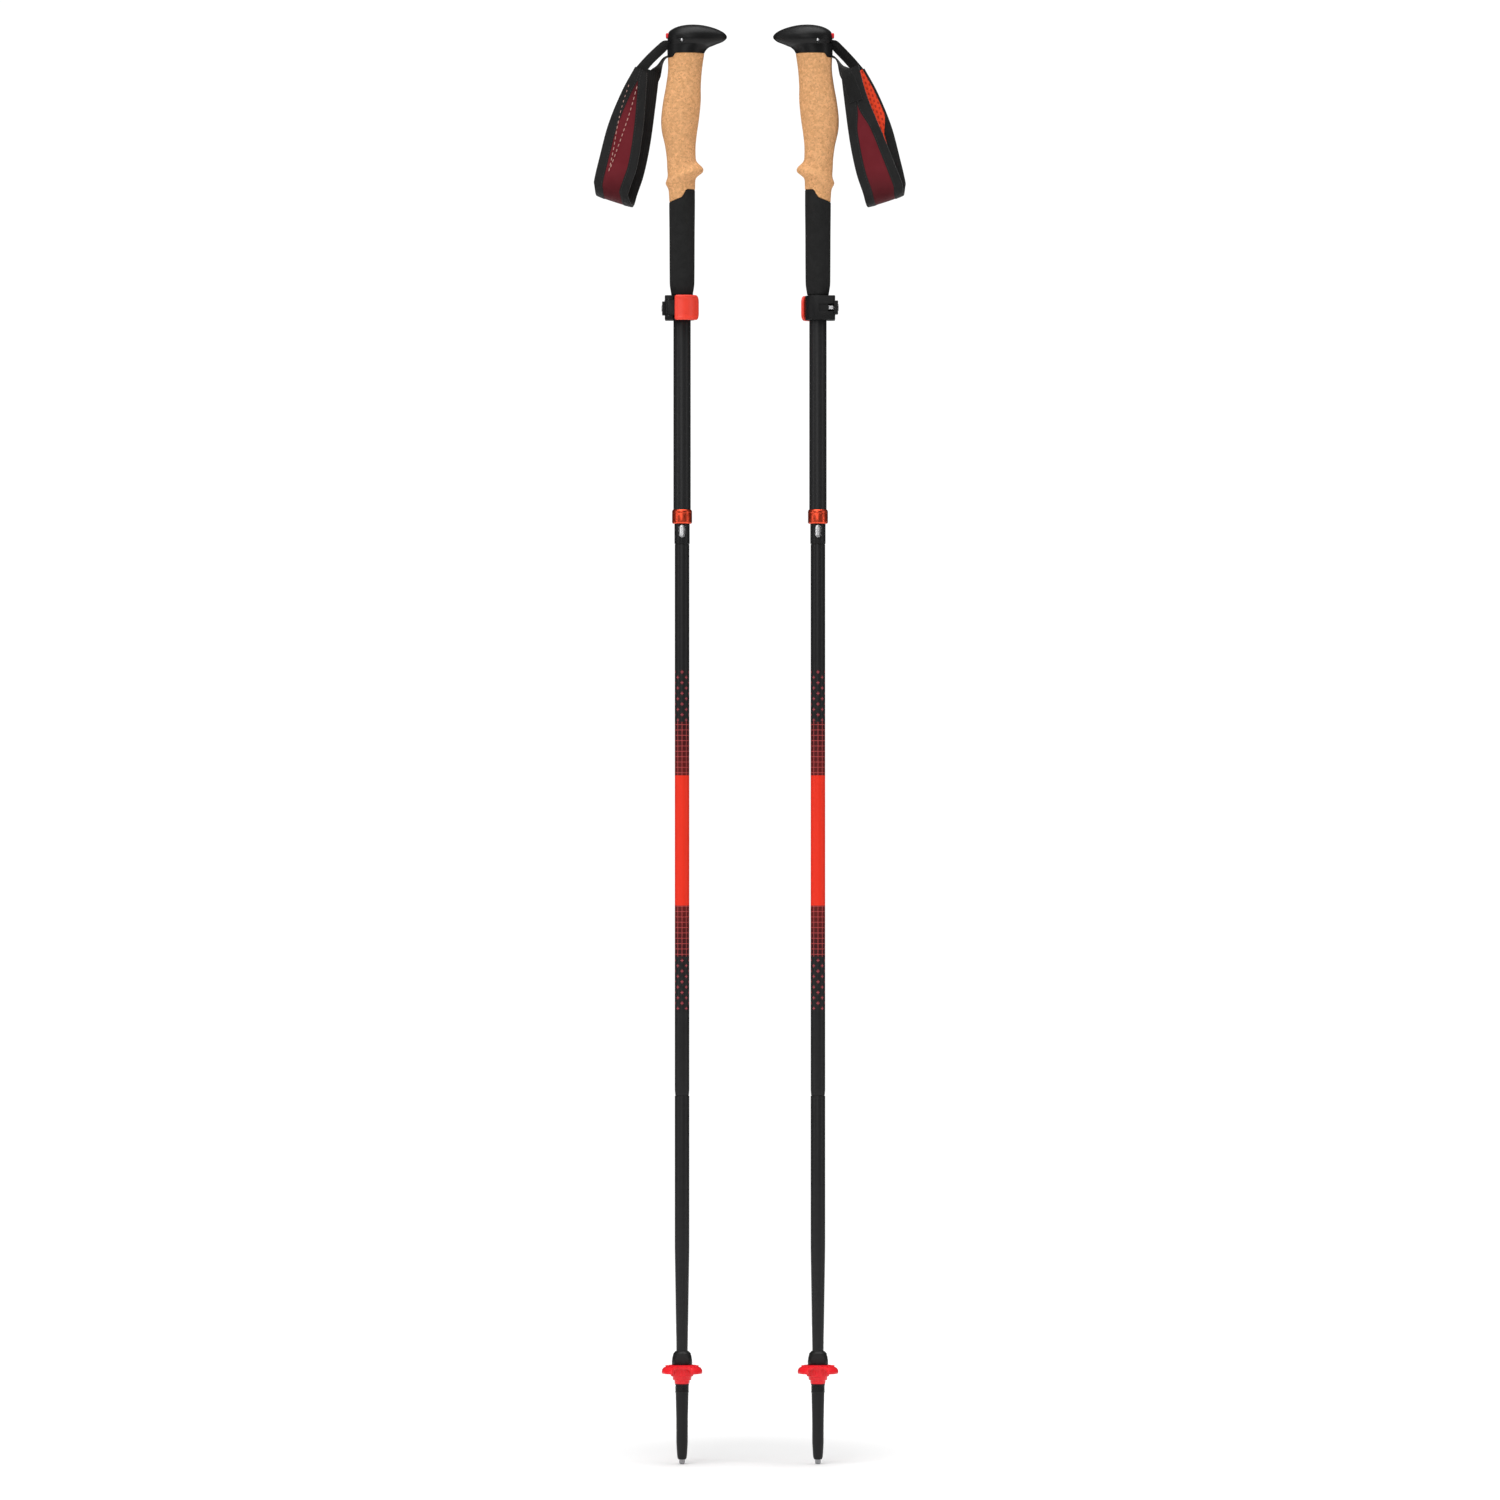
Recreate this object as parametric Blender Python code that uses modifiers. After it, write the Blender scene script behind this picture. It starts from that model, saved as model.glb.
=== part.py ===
"""A pair of folding trekking poles, upright, tips at z = 0.

Each pole has a handle (pommel, cork and foam grips, wrist strap, clamp and upper tube), a slide tube
that runs in it, a sleeve with a push button, and a middle and a lower tube that fold on their tension
cord. Metres, +Z up. Each pole is drawn around its own axis, and its handle's beak points to +X before
the handle is turned.
"""

import math

import bmesh
import bpy
from mathutils import Matrix, Vector

# ---- the pair ----
POLE_SPACING = 0.118  # between the two poles' axes

# ---- lengths up the pole, from the ground ----
CARBIDE_OUT = 0.004  # carbide that shows under the tip
TIP_LENGTH = 0.094  # the moulded tip, from the carbide to its top lip
LOWER_JOINT_Z = 0.3198  # plane where the lower and middle tubes meet
MIDDLE_LENGTH = 0.479  # middle tube
SLEEVE_SHOWN = 0.0177  # sleeve that shows under the collar
COLLAR_HEIGHT = 0.0122
SLIDE_SHOWN = 0.1643  # slide tube that shows between collar and clamp
CLAMP_HEIGHT = 0.0217
FOAM_LENGTH = 0.0917  # foam grip, to its highest edge
GRIP_HEIGHT = 0.2102  # from the clamp's top to the cork's top

# ---- tubes ----
MIDDLE_R = 0.0063
LOWER_R = 0.0063
LOWER_END_R = 0.0048  # lower tube at the tip
THIN_WALL = 0.0006
SLEEVE_R = 0.0066
SLEEVE_WALL = 0.0012
SLEEVE_HIDDEN = 0.052  # sleeve that stays inside the slide tube
SLIDE_WALL = 0.0007
SLIDE_HIDDEN = 0.068  # slide tube held inside the upper tube at full length
UPPER_WALL = 0.0009
COLLAR_WALL = 0.00085

# ---- clearances ----
GAP = 0.0003  # between pieces that touch
SLIDE_GAP = 0.0004  # slide tube in the upper tube
BUTTON_GAP = 0.00025
SOCKET_GAP = 0.00025  # joint cone in its socket

SLIDE_R = SLEEVE_R + 0.0002 + SLIDE_WALL
UPPER_IN_R = SLIDE_R + SLIDE_GAP
UPPER_R = UPPER_IN_R + UPPER_WALL
BORE_R = UPPER_R + GAP  # bore of everything that sits on the upper tube

# ---- joint cones and the fold ----
CONE_LENGTH = 0.0054
CONE_BASE_R = 0.0052
CONE_MARGIN = 0.0001
PLUG_LENGTH = 0.018  # cone insert, inside its tube
CORD_R = 0.0012
CORD_HOLE_R = 0.0016
FOLD_CLEARANCE = 0.0022

# ---- grips and pommel ----
FOAM_WALL = 0.0024
FOAM_END_WALL = 0.0009
FLARE_FRONT = 0.0068
FLARE_BACK = 0.0024
FLARE_WIDTH = 0.0042
FLARE_TILT = 0.0057  # how far the flare rises to the front and falls to the back
FLARE_HEIGHT = 0.1030
POMMEL_HALF_WIDTH = 0.0173
POMMEL_SOCKET = 0.0076  # upper tube inside the pommel
LIP_DROP = 0.0036  # the pommel's back lip below the cork's top
PIN_R = 0.0015

# ---- strap ----
STRAP_GAP = 0.016  # between the two strands
STRAP_THICKNESS = 0.003
WEBBING_THICKNESS = 0.0024
WEBBING_WIDTH = 0.007
STRAP_PIVOT_X = -0.0153

# ---- wedge that locks the strap ----
WEDGE_WIDTH = 0.0104
WEDGE_HEIGHT = 0.0045
WEDGE_LENGTH = 0.0092

# ---- clamp ----
BAND_WALL = 0.0019
LEVER_GAP = 0.0009
LEVER_WALL = 0.0029
HUB_R = 0.0036
HUB_HEIGHT = 0.013
LEVER_PIN_R = 0.0012
NUB_WIDTH = 0.0084
NUB_HEIGHT = 0.012
NUB_OUT = 0.0025
SCREW_R = 0.0015
SCREW_HEAD_R = 0.003
NUT_R = 0.0028

# ---- button ----
BUTTON_WIDTH = 0.0048
BUTTON_HEIGHT = 0.0108
BUTTON_PROUD = 0.001
FLANGE_THICKNESS = 0.0007
LEAF_THICKNESS = 0.0004
LEAF_LENGTH = 0.036

# ---- tip and basket ----
TIP_R = 0.0057
TIP_END_R = 0.0044
TIP_LIP_R = 0.0089
TIP_LIP_DROP = 0.0115  # from the tip's top down to the lip that the basket sits under
TAPER_LENGTH = 0.088  # tapered run of the lower tube, above the tip
BASKET_R = 0.0177
BASKET_HEIGHT = 0.0165
BASKET_HUB_R = 0.0096
BASKET_THICKNESS = 0.0016
CARBIDE_R = 0.0025
CARBIDE_HELD = 0.012

# ---- how finely round pieces are divided ----
ROUND = 24
SMALL_ROUND = 14
GRIP_ROUND = 20
TIP_ROUND = 16
BASKET_ROUND = 20
CORD_ROUND = 8

# ---- worked out from the sizes above ----
TIP_TOP_Z = CARBIDE_OUT + TIP_LENGTH
TIP_SHOULDER_Z = TIP_TOP_Z - TIP_LIP_DROP
UPPER_JOINT_Z = LOWER_JOINT_Z + MIDDLE_LENGTH
COLLAR_Z = UPPER_JOINT_Z + SLEEVE_SHOWN
CLAMP_Z = COLLAR_Z + COLLAR_HEIGHT + SLIDE_SHOWN
CLAMP_TOP_Z = CLAMP_Z + CLAMP_HEIGHT
GRIP_TOP_Z = CLAMP_TOP_Z + GRIP_HEIGHT
FLARE_Z = CLAMP_TOP_Z + FLARE_HEIGHT
CLAMP_MID_Z = CLAMP_Z + CLAMP_HEIGHT / 2
PIN_Z = GRIP_TOP_Z + 0.0106
STRAP_PIVOT_Z = GRIP_TOP_Z + 0.0098
WEDGE_Z = GRIP_TOP_Z + 0.0153
COLLAR_R = SLIDE_R + GAP + COLLAR_WALL
FOLD_OFFSET = (max(POMMEL_HALF_WIDTH, BASKET_R) + MIDDLE_R + FOLD_CLEARANCE) / 2
BAND_R = BORE_R + BAND_WALL
LEVER_PIN_AT = Vector((-BAND_R - 0.0006, -BAND_R + 0.0020, CLAMP_MID_Z))
SCREW_Y = BAND_R - 0.0034
BLOCK_X = LEVER_PIN_AT.x - HUB_R + 0.0003
BLOCK_FRONT_Y = LEVER_PIN_AT.y - HUB_R + 0.0003
BLOCK_BACK_Y = BAND_R + 0.0003

# Cork thickness over the upper tube: height above the clamp, back, front, side.
GRIP_STATIONS = (
    (min(0.0790, FOAM_LENGTH - 0.0127), 0.0021, 0.0024, 0.0024),
    (0.0920, 0.0028, 0.0025, 0.0025),
    (0.0970, 0.0030, 0.0026, 0.0027),
    (0.1010, 0.0032, 0.0027, 0.0028),
    (0.1050, 0.0036, 0.0028, 0.0030),
    (0.1090, 0.0040, 0.0029, 0.0031),
    (0.1130, 0.0042, 0.0030, 0.0032),
    (0.1190, 0.0045, 0.0030, 0.0034),
    (0.1300, 0.0060, 0.0030, 0.0038),
    (0.1420, 0.0087, 0.0043, 0.0048),
    (0.1500, 0.0094, 0.0055, 0.0055),
    (0.1580, 0.0090, 0.0065, 0.0057),
    (0.1700, 0.0074, 0.0075, 0.0054),
    (0.1820, 0.0052, 0.0075, 0.0047),
    (0.1960, 0.0034, 0.0085, 0.0042),
    (GRIP_HEIGHT, 0.0037, 0.0105, 0.0047),
)

# The pommel's neck: height above the cork's top, back, front, side, as above.
NECK_STATIONS = (
    (-0.0045, 0.0038, 0.0098, 0.0048),
    (0.0000, 0.0040, 0.0105, 0.0050),
    (0.0030, 0.0040, 0.0122, 0.0052),
    (0.0060, 0.0040, 0.0156, 0.0054),
    (0.0090, 0.0037, 0.0200, 0.0054),
    (0.0130, 0.0022, 0.0212, 0.0040),
)

# The pommel's cap along X: place, top and bottom above the cork's top, share of the half width.
CAP_STATIONS = (
    (-0.0126, 0.0158, 0.0114, 0.22),
    (-0.0114, 0.0188, 0.0080, 0.50),
    (-0.0080, 0.0214, 0.0058, 0.74),
    (-0.0030, 0.0235, 0.0046, 0.90),
    (0.0030, 0.0247, 0.0042, 0.985),
    (0.0095, 0.0251, 0.0042, 1.0),
    (0.0170, 0.0243, 0.0042, 0.93),
    (0.0240, 0.0224, 0.0056, 0.77),
    (0.0300, 0.0200, 0.0082, 0.58),
    (0.0350, 0.0172, 0.0102, 0.39),
    (0.0380, 0.0152, 0.0118, 0.22),
    (0.0390, 0.0142, 0.0128, 0.10),
)
CAP_WIDEST = 0.0136  # height of the cap's widest line above the cork's top
CAP_SIDES = 16

# The strap's two edges, strand by strand, from the cork's top: outer x, outer z, inner x, inner z.
OUTER_STRAND = (
    (-0.0405, -0.0130, -0.0330, -0.0185),
    (-0.0510, -0.0330, -0.0350, -0.0400),
    (-0.0620, -0.0620, -0.0380, -0.0690),
    (-0.0710, -0.0920, -0.0420, -0.1000),
    (-0.0755, -0.1120, -0.0455, -0.1210),
)
INNER_STRAND = (
    (-0.0360, -0.0200, -0.0215, -0.0265),
    (-0.0440, -0.0430, -0.0245, -0.0500),
    (-0.0560, -0.0720, -0.0285, -0.0790),
    (-0.0660, -0.0970, -0.0340, -0.1050),
    (-0.0725, -0.1140, -0.0400, -0.1230),
)
STRAP_TURN_STEPS = 5

parts = bpy.data.collections.new("trekking_poles")
cutters = bpy.data.collections.new("cutters")
anchors = {}


def clear_scene():
    for obj in list(bpy.data.objects):
        bpy.data.objects.remove(obj, do_unlink=True)
    bpy.context.scene.collection.children.link(parts)
    bpy.context.scene.collection.children.link(cutters)


def material(name, color, roughness, metallic=0.0):
    mat = bpy.data.materials.new(name)
    mat.use_nodes = True
    shader = mat.node_tree.nodes["Principled BSDF"]
    shader.inputs["Base Color"].default_value = (*color, 1.0)
    shader.inputs["Roughness"].default_value = roughness
    shader.inputs["Metallic"].default_value = metallic
    return mat


MATERIALS = {
    "black_plastic": material("black_plastic", (0.013, 0.013, 0.014), 0.45),
    "cork": material("cork", (0.67, 0.38, 0.16), 0.75),
    "foam": material("foam", (0.017, 0.017, 0.017), 0.9),
    "carbon": material("carbon", (0.020, 0.020, 0.022), 0.35),
    "coral": material("coral", (0.92, 0.07, 0.04), 0.4),
    "orange_metal": material("orange_metal", (0.62, 0.05, 0.02), 0.3, 0.9),
    "silver": material("silver", (0.60, 0.60, 0.60), 0.3, 1.0),
    "red_plastic": material("red_plastic", (0.75, 0.02, 0.03), 0.35),
    "strap_fabric": material("strap_fabric", (0.09, 0.012, 0.018), 0.85),
    "webbing": material("webbing", (0.010, 0.010, 0.010), 0.8),
    "cord": material("cord", (0.70, 0.70, 0.68), 0.7),
    "carbide": material("carbide", (0.35, 0.35, 0.36), 0.35, 1.0),
}


# ---- placing ----


def pivot(name, parent, at, turn=0.0):
    """An empty at a joint. What hangs on it is placed by its own position in the pole's frame."""
    empty = bpy.data.objects.new(name, None)
    parts.objects.link(empty)
    anchors[name] = Vector(at)
    if parent:
        empty.parent = bpy.data.objects[parent]
    empty.location = Vector(at) - anchors.get(parent, Vector())
    empty.rotation_euler.z = turn
    return empty


def place(name, mesh, finish, parent, at=(0.0, 0.0, 0.0)):
    """A named piece, or a hidden cutter when finish is None."""
    obj = bpy.data.objects.new(name, mesh)
    obj.parent = bpy.data.objects[parent]
    obj.location = Vector(at) - anchors[parent]
    if finish is None:
        cutters.objects.link(obj)
        obj.hide_render = True
        obj.display_type = "WIRE"
    else:
        parts.objects.link(obj)
        mesh.materials.append(MATERIALS[finish])
    return obj


def combine(target, other, operation):
    mod = target.modifiers.new(f"{operation.lower()}_{other.name}", "BOOLEAN")
    mod.operation = operation
    mod.object = other
    mod.solver = "EXACT"


def cut(target, *others):
    for other in others:
        combine(target, other, "DIFFERENCE")


def join(target, *others):
    for other in others:
        combine(target, other, "UNION")


# ---- shapes ----


def turned(name, profile, finish, parent, at, sides=ROUND, hollow=False):
    """A profile of (radius, height) points, down its outer side, turned about Z."""
    mesh = bpy.data.meshes.new(name)
    count = len(profile)
    edges = [(i, i + 1) for i in range(count - 1)]
    if hollow:
        edges.append((count - 1, 0))
    mesh.from_pydata([(r, 0.0, z) for r, z in profile], edges, [])
    obj = place(name, mesh, finish, parent, at)
    mod = obj.modifiers.new("turn", "SCREW")
    mod.axis = "Z"
    mod.angle = math.tau
    mod.steps = sides
    mod.render_steps = sides
    mod.use_merge_vertices = True
    mod.merge_threshold = 1e-6
    mod.use_smooth_shade = True
    return obj


def tube_profile(outer, inner, top, bottom):
    return [(outer, top), (outer, bottom), (inner, bottom), (inner, top)]


def rod_profile(radius, top, bottom):
    return [(0.0, top), (radius, top), (radius, bottom), (0.0, bottom)]


def box(name, low, high, finish, parent):
    low = Vector(low)
    high = Vector(high)
    mesh = bpy.data.meshes.new(name)
    bm = bmesh.new()
    bmesh.ops.create_cube(bm, size=1.0)
    bmesh.ops.scale(bm, vec=high - low, verts=bm.verts)
    bm.to_mesh(mesh)
    bm.free()
    return place(name, mesh, finish, parent, (low + high) / 2)


def cylinder(name, radius, length, axis, middle, finish, parent, sides=SMALL_ROUND):
    turns = {"X": Matrix.Rotation(math.pi / 2, 3, "Y"), "Y": Matrix.Rotation(math.pi / 2, 3, "X")}
    mesh = bpy.data.meshes.new(name)
    bm = bmesh.new()
    bmesh.ops.create_cone(
        bm, cap_ends=True, segments=sides, radius1=radius, radius2=radius, depth=length
    )
    if axis in turns:
        bmesh.ops.rotate(bm, matrix=turns[axis], verts=bm.verts)
    bm.to_mesh(mesh)
    bm.free()
    mesh.shade_smooth()
    mesh.set_sharp_from_angle(angle=math.radians(35))
    return place(name, mesh, finish, parent, middle)


def outline_solid(name, outline, thickness, axis, middle, finish, parent):
    """A flat outline with some thickness. It lies in XY for axis Z, and stands in XZ for axis Y."""
    curve = bpy.data.curves.new(name, "CURVE")
    curve.dimensions = "2D"
    curve.fill_mode = "BOTH"
    curve.extrude = thickness / 2
    spline = curve.splines.new("POLY")
    spline.points.add(len(outline) - 1)
    for point, (u, v) in zip(spline.points, outline, strict=True):
        point.co = (u, v, 0.0, 1.0)
    spline.use_cyclic_u = True
    guide = bpy.data.objects.new(f"{name}_outline", curve)
    cutters.objects.link(guide)
    mesh = bpy.data.meshes.new_from_object(guide.evaluated_get(bpy.context.evaluated_depsgraph_get()))
    bpy.data.objects.remove(guide)
    bm = bmesh.new()
    bm.from_mesh(mesh)
    bmesh.ops.remove_doubles(bm, verts=bm.verts, dist=1e-6)
    if axis == "Y":
        bmesh.ops.rotate(bm, matrix=Matrix.Rotation(math.pi / 2, 3, "X"), verts=bm.verts)
    bmesh.ops.recalc_face_normals(bm, faces=bm.faces)
    bm.to_mesh(mesh)
    bm.free()
    mesh.name = name
    return place(name, mesh, finish, parent, middle)


def loft(name, sections, finish, parent, smooth=True):
    """A skin through rings of points that have the same count, closed at both ends."""
    bm = bmesh.new()
    rings = [[bm.verts.new(p) for p in ring] for ring in sections]
    count = len(rings[0])
    for low, high in zip(rings, rings[1:]):
        for i in range(count):
            j = (i + 1) % count
            bm.faces.new((low[i], low[j], high[j], high[i]))
    bm.faces.new(rings[0])
    bm.faces.new(rings[-1])
    bmesh.ops.recalc_face_normals(bm, faces=bm.faces)
    mesh = bpy.data.meshes.new(name)
    bm.to_mesh(mesh)
    bm.free()
    if smooth:
        mesh.shade_smooth()
    return place(name, mesh, finish, parent)


def arc(radius, start, stop, steps, centre=(0.0, 0.0)):
    """Points along an arc, both ends included, with angles in degrees."""
    points = []
    for i in range(steps + 1):
        angle = math.radians(start + (stop - start) * i / steps)
        points.append((centre[0] + radius * math.cos(angle), centre[1] + radius * math.sin(angle)))
    return points


def flare(angle, height):
    """How far the cork swells under the fingers, round a ring that is tilted up to the front."""
    ridge = FLARE_Z + FLARE_TILT * math.cos(angle)
    front = max(0.0, math.cos(angle)) ** 2
    reach = FLARE_BACK + (FLARE_FRONT - FLARE_BACK) * front
    return reach * math.exp(-(((height - ridge) / FLARE_WIDTH) ** 2))


def grip_ring(height, back, front, side, swell):
    """One level cross-section of the grip, an oval set off towards the back or the front."""
    half_x = UPPER_R + (back + front) / 2
    half_y = UPPER_R + side
    centre = (front - back) / 2
    ring = []
    for i in range(GRIP_ROUND):
        angle = math.tau * i / GRIP_ROUND
        extra = flare(angle, height) if swell else 0.0
        x = centre + (half_x + extra) * math.cos(angle)
        y = (half_y + extra) * math.sin(angle)
        ring.append((x, y, height))
    return ring


def border(levels, offset):
    """An outline in XZ with everything under a stepped line, from back to front."""
    wide = 0.05
    line = [(x, z + offset) for x, z in levels]
    line = [(-wide, line[0][1]), *line, (wide, line[-1][1])]
    return line


def region(line, edge_z):
    """The line closed off at a far level, as an outline to cut with."""
    return [*line, (line[-1][0], edge_z), (line[0][0], edge_z)]


# ---- handle ----

FOAM_TOP_Z = CLAMP_TOP_Z + FOAM_LENGTH
GRIP_BORDER = (
    (-0.0110, FOAM_TOP_Z - 0.0108),
    (-0.0003, FOAM_TOP_Z - 0.0070),
    (0.0018, FOAM_TOP_Z - 0.0040),
    (0.0032, FOAM_TOP_Z - 0.0012),
    (0.0050, FOAM_TOP_Z),
)
POMMEL_BORDER = (
    (-0.0090, GRIP_TOP_Z - LIP_DROP),
    (-0.0078, GRIP_TOP_Z - LIP_DROP + 0.0004),
    (-0.0062, GRIP_TOP_Z - 0.0005),
    (-0.0050, GRIP_TOP_Z),
)
CUT_WIDTH = 0.08


def border_cutter(name, levels, offset, edge_z, parent):
    outline = region(border(levels, offset), edge_z)
    return outline_solid(name, outline, CUT_WIDTH, "Y", (0, 0, 0), None, parent)


def bore_cutter(name, radius, bottom, top, parent):
    return turned(name, rod_profile(radius, top, bottom), None, parent, (0, 0, 0))


def upper_tube(side, handle):
    top = GRIP_TOP_Z + POMMEL_SOCKET - GAP
    tube = turned(
        f"{side}_upper_tube",
        tube_profile(UPPER_R, UPPER_IN_R, top, CLAMP_Z + 0.0005),
        "carbon",
        handle,
        (0, 0, 0),
        hollow=True,
    )
    slit = box(
        f"{side}_slit_cutter",
        (-UPPER_R - 0.002, -0.0006, CLAMP_Z - 0.002),
        (-UPPER_IN_R / 2, 0.0006, CLAMP_TOP_Z + 0.006),
        None,
        handle,
    )
    cut(tube, slit)


def foam_grip(side, handle):
    outer = UPPER_R + FOAM_WALL
    profile = [
        (outer, FOAM_TOP_Z + 0.004),
        (outer, CLAMP_TOP_Z + 0.075),
        (outer - 0.0006, CLAMP_TOP_Z + 0.009),
        (outer - 0.0009, CLAMP_TOP_Z + 0.0045),
        (UPPER_R + FOAM_END_WALL, CLAMP_TOP_Z + 0.0013),
        (UPPER_R + FOAM_END_WALL - 0.0004, CLAMP_TOP_Z + GAP),
        (BORE_R, CLAMP_TOP_Z + GAP),
        (BORE_R, FOAM_TOP_Z + 0.004),
    ]
    foam = turned(f"{side}_foam_grip", profile, "foam", handle, (0, 0, 0), hollow=True)
    above = border_cutter(
        f"{side}_foam_border_cutter", GRIP_BORDER, -GAP / 2, FOAM_TOP_Z + 0.03, handle
    )
    cut(foam, above)


def cork_grip(side, handle):
    rings = [
        grip_ring(CLAMP_TOP_Z + height, back, front, width, True)
        for height, back, front, width in GRIP_STATIONS
    ]
    cork = loft(f"{side}_cork_grip", rings, "cork", handle)
    low = CLAMP_TOP_Z + GRIP_STATIONS[0][0] - 0.01
    cut(
        cork,
        bore_cutter(f"{side}_cork_bore_cutter", BORE_R, low, GRIP_TOP_Z + 0.01, handle),
        border_cutter(f"{side}_cork_border_cutter", GRIP_BORDER, GAP / 2, low - 0.02, handle),
        border_cutter(
            f"{side}_cork_top_cutter", POMMEL_BORDER, -GAP / 2, GRIP_TOP_Z + 0.03, handle
        ),
    )


def cap_ring(x, top, bottom, share):
    """One upright cross-section of the pommel's cap, rounder above its widest line than below."""
    half = POMMEL_HALF_WIDTH * share
    ring = []
    for i in range(CAP_SIDES):
        angle = math.tau * i / CAP_SIDES
        rise = math.sin(angle)
        reach = (top - CAP_WIDEST) if rise > 0 else (CAP_WIDEST - bottom)
        ring.append((x, half * math.cos(angle), GRIP_TOP_Z + CAP_WIDEST + reach * rise))
    return ring


def pommel(side, handle):
    cap = loft(f"{side}_pommel", [cap_ring(*station) for station in CAP_STATIONS], "black_plastic", handle)
    neck_rings = [
        grip_ring(GRIP_TOP_Z + height, back, front, width, False)
        for height, back, front, width in NECK_STATIONS
    ]
    join(cap, loft(f"{side}_neck_cutter", neck_rings, None, handle))
    cut(
        cap,
        bore_cutter(
            f"{side}_pommel_bore_cutter", BORE_R, GRIP_TOP_Z - 0.02, GRIP_TOP_Z + POMMEL_SOCKET, handle
        ),
        border_cutter(
            f"{side}_pommel_border_cutter", POMMEL_BORDER, GAP / 2, GRIP_TOP_Z - 0.03, handle
        ),
        cylinder(f"{side}_pin_cutter", PIN_R + GAP, 0.06, "Y", (0, 0, PIN_Z), None, handle),
        box(
            f"{side}_webbing_slot_cutter",
            (-0.02, -0.0078, STRAP_PIVOT_Z - 0.0014),
            (-0.004, 0.0078, STRAP_PIVOT_Z + 0.0014),
            None,
            handle,
        ),
        box(
            f"{side}_wedge_slot_cutter",
            (-0.02, -WEDGE_WIDTH / 2 - GAP, WEDGE_Z - WEDGE_HEIGHT / 2 - GAP),
            (-0.0044, WEDGE_WIDTH / 2 + GAP, WEDGE_Z + WEDGE_HEIGHT / 2 + GAP),
            None,
            handle,
        ),
    )
    cylinder(
        f"{side}_pommel_pin", PIN_R, 2 * POMMEL_HALF_WIDTH - 0.0014, "Y", (0, 0, PIN_Z), "silver", handle
    )


def strap_wedge(side, handle):
    """Its back end stands proud of the pommel, where a fingernail draws it out."""
    front = -0.0047
    back = front - WEDGE_LENGTH - 0.0008
    thin = WEDGE_HEIGHT / 2 - 0.0009
    thick = WEDGE_HEIGHT / 2
    outline = [(front, -thick), (front, thin), (back, thick), (back, -thick)]
    outline_solid(
        f"{side}_strap_wedge", outline, WEDGE_WIDTH, "Y", (0, 0, WEDGE_Z), "red_plastic", handle
    )


# ---- strap ----


def strand_ring(edges, y, lean):
    """A flat strap section between its two edges. lean is the direction of its thickness, as (y, z)."""
    outer_x, outer_z, inner_x, inner_z = edges
    half = STRAP_THICKNESS / 2
    dy = lean[0] * half
    dz = lean[1] * half
    return [
        (outer_x, y + dy, GRIP_TOP_Z + outer_z + dz),
        (inner_x, y + dy, GRIP_TOP_Z + inner_z + dz),
        (inner_x, y - dy, GRIP_TOP_Z + inner_z - dz),
        (outer_x, y - dy, GRIP_TOP_Z + outer_z - dz),
    ]


def strap_cuff(side, swing):
    """A padded band that hangs as two strands, joined by a half turn at the bottom."""
    reach = (STRAP_GAP + STRAP_THICKNESS) / 2
    rings = [strand_ring(edges, -reach, (1, 0)) for edges in OUTER_STRAND]
    start = OUTER_STRAND[-1]
    stop = INNER_STRAND[-1]
    for i in range(1, STRAP_TURN_STEPS):
        share = i / STRAP_TURN_STEPS
        turn = math.pi * share
        edges = [a + (b - a) * share for a, b in zip(start, stop)]
        drop = reach * math.sin(turn)
        edges[1] -= drop
        edges[3] -= drop
        rings.append(strand_ring(edges, -reach * math.cos(turn), (math.cos(turn), math.sin(turn))))
    rings += [strand_ring(edges, reach, (-1, 0)) for edges in reversed(INNER_STRAND)]
    loft(f"{side}_strap_cuff", rings, "strap_fabric", swing, smooth=False)


def webbing(name, path, swing):
    """A short run of webbing through points (x, y, z), measured from the cork's top."""
    rings = []
    points = [Vector((x, y, GRIP_TOP_Z + z)) for x, y, z in path]
    along = (points[-1] - points[0]).normalized()
    across = along.cross(Vector((0, 1, 0))).normalized()
    thick = Vector((0, 1, 0)) * WEBBING_THICKNESS / 2
    for i, point in enumerate(points):
        wide = across * (WEBBING_WIDTH / 2 if i else WEBBING_THICKNESS / 2)
        corners = ((wide + thick), (thick - wide), -(wide + thick), (wide - thick))
        rings.append([point + corner for corner in corners])
    loft(name, rings, "webbing", swing, smooth=False)


def strap(side, handle):
    swing = f"{side}_strap_swing"
    pivot(swing, handle, (STRAP_PIVOT_X, 0, STRAP_PIVOT_Z))
    y = (STRAP_GAP + STRAP_THICKNESS) / 2
    rise = STRAP_PIVOT_Z - GRIP_TOP_Z
    webbing(
        f"{side}_strap_webbing_upper",
        ((STRAP_PIVOT_X, 0, rise), (-0.0220, -y / 3, 0.0035), (-0.0358, -y, -0.0140)),
        swing,
    )
    webbing(
        f"{side}_strap_webbing_lower",
        ((-0.0150, 0, -0.0030), (-0.0190, y / 3, -0.0085), (-0.0268, y, -0.0200)),
        swing,
    )
    strap_cuff(side, swing)


# ---- clamp ----


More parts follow.
